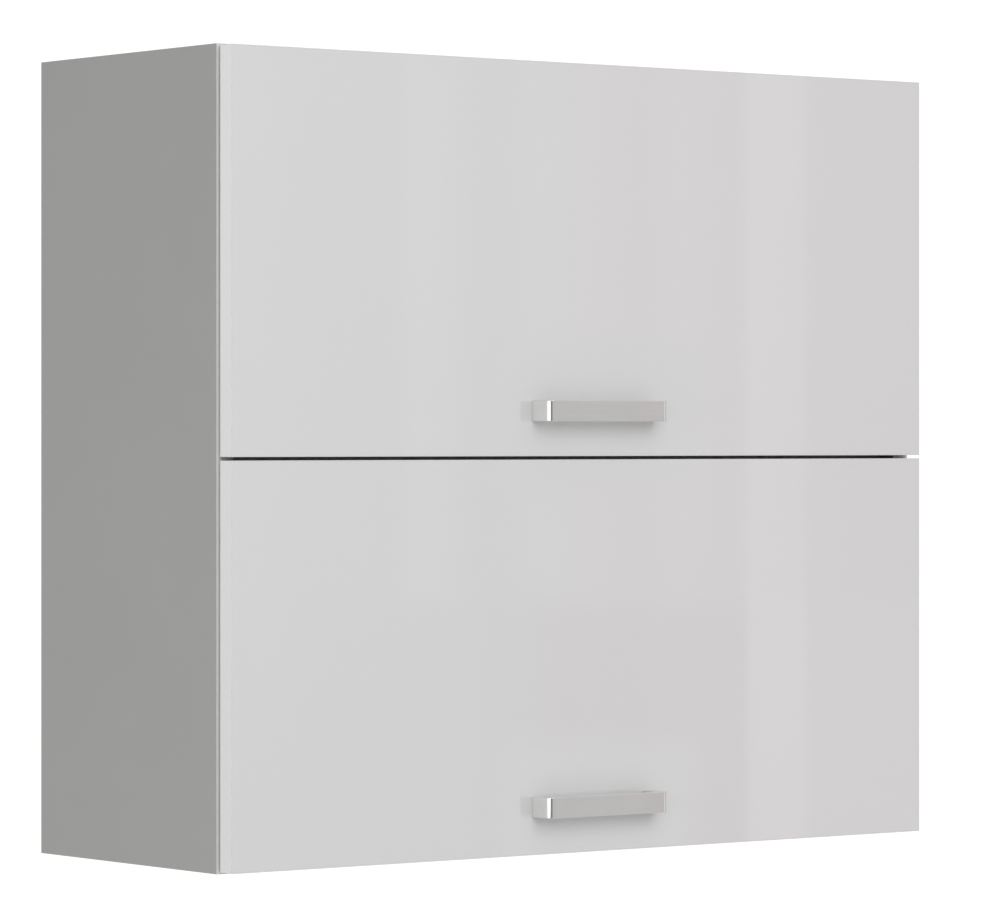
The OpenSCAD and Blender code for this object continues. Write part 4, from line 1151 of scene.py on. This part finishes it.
# A plain pale patch at the height of each handle.
degrees = wmath("DEGREES", azimuth)
across = wmath("MULTIPLY", fade(degrees, 37.1, 37.5), fade(degrees, 39.2, 39.7, False))
for level, tone in ((-0.0735, (1.085, 1.08, 1.078)), (0.005, (1.0, 0.992, 0.99))):
    row = fade(wmath("ABSOLUTE", wmath("SUBTRACT", dz, level)), 0.009, 0.017, False)
    mirrored = wmix("MIX", wmath("MULTIPLY", across, row), mirrored, tuple(c / 4 for c in tone) + (1.0,))
by_compass = wmix("MIX", in_fine, by_compass, mirrored)
broad = wramp(turn, [((d / 360) + 0.5, v / 4) for d, v in ((-180, 0.75), (-150, 0.5), (-95, 0.3), (-60, 0.55), (-30, 1.25), (0, 1.4), (40, 1.2), (90, 1.0), (180, 0.8))])
around = wmix("MIX", steep.outputs[0], by_compass, broad)
cloud = wnode("ShaderNodeTexNoise", Vector=wnode("ShaderNodeTexCoord").outputs["Generated"], Scale=5.0, Detail=2.0)
uneven = wnode("ShaderNodeMapRange", Value=cloud.outputs["Fac"], From_Min=0.3, From_Max=0.7, To_Min=0.93, To_Max=1.07)
tint = wmix("MULTIPLY", 1.0, wmix("MULTIPLY", 1.0, by_height, around), uneven.outputs[0])
wb = wnode("ShaderNodeBackground", Color=tint, Strength=4.0 * WORLD)
wnode("ShaderNodeOutputWorld", Surface=wb.outputs[0])


def emitter(name, strength):
    m = bpy.data.materials.new(name)
    m.use_nodes = True
    nt = m.node_tree
    nt.nodes.clear()
    e = nt.nodes.new("ShaderNodeEmission")
    e.inputs["Strength"].default_value = strength
    o = nt.nodes.new("ShaderNodeOutputMaterial")
    nt.links.new(e.outputs[0], o.inputs[0])
    return m


# A white surround that only the camera sees.
bm = bmesh.new()
bmesh.ops.create_icosphere(bm, subdivisions=5, radius=40)
me = bpy.data.meshes.new("surround")
bm.to_mesh(me)
bm.free()
surround = bpy.data.objects.new("surround", me)
me.materials.append(emitter("surround_white", 1.08))
scene.collection.objects.link(surround)
surround.visible_diffuse = surround.visible_glossy = surround.visible_transmission = surround.visible_shadow = surround.visible_volume_scatter = False
surround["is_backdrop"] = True

# A pale floor below, which fades out towards its rim.
FLOOR_Z = -0.42
bm = bmesh.new()
bmesh.ops.create_circle(bm, cap_ends=True, radius=3.2, segments=96)
me = bpy.data.meshes.new("floor")
bm.to_mesh(me)
bm.free()
floor = bpy.data.objects.new("floor", me)
floor.location = (0, 0, FLOOR_Z)
fm = Nodes("pale_floor")
fm.put("Base Color", fm.ramp(fm.noise(3, 3), [(0.3, (0.76, 0.76, 0.76)), (0.7, (0.78, 0.78, 0.78))])).put("Roughness", fm.grey(fm.noise(30, 2), 0.6, 0.7))
fm.set(Emission_Color=(1, 1, 1, 1), Emission_Strength=0.02)
length = fm.nt.nodes.new("ShaderNodeVectorMath")
length.operation = "LENGTH"
fm.link(fm.object, length.inputs[0])
rim = fm.nt.nodes.new("ShaderNodeMapRange")
rim.interpolation_type = "SMOOTHSTEP"
rim.inputs["From Min"].default_value, rim.inputs["From Max"].default_value = 0.7, 3.1
rim.inputs["To Min"].default_value, rim.inputs["To Max"].default_value = 0.8, 0.0
fm.link(length.outputs["Value"], rim.inputs["Value"])
above = fm.math("SUBTRACT", 1.0, fm.nt.nodes.new("ShaderNodeNewGeometry").outputs["Backfacing"])
fm.link(fm.math("MULTIPLY", rim.outputs[0], above), fm.bsdf.inputs["Alpha"])
me.materials.append(fm.mat)
scene.collection.objects.link(floor)
floor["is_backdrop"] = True


def softbox(name, azimuth, elevation, distance, width, height, watts, glossy=True, aim=(0, 0, 0.36)):
    """An area light at an azimuth measured from the camera side's normal (-Y), positive to the right."""
    la = bpy.data.lights.new(name, "AREA")
    la.shape, la.size, la.size_y, la.energy = "RECTANGLE", width, height, watts
    ob = bpy.data.objects.new(name, la)
    a, e = math.radians(azimuth), math.radians(elevation)
    d = Vector((math.sin(a) * math.cos(e), -math.cos(a) * math.cos(e), math.sin(e)))
    ob.location = Vector(aim) + d * distance
    ob.rotation_mode = "QUATERNION"
    ob.rotation_quaternion = d.to_track_quat("Z", "Y")
    ob.visible_glossy = glossy
    scene.collection.objects.link(ob)
    return ob


softbox("left_strip", -69, 2, 3.2, 3.5, 1.4, 22)
# The front light in two parts, so that its mirror image in the fronts stays soft.
softbox("front_key", -16, 23, 6.0, 6.0, 3.4, 70)
softbox("front_fill", -16, 23, 6.0, 6.0, 3.4, 111, glossy=False)

lo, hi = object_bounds()
{"cad": [list(CAD_LO), list(CAD_HI)], "visual": [list(lo), list(hi)]}
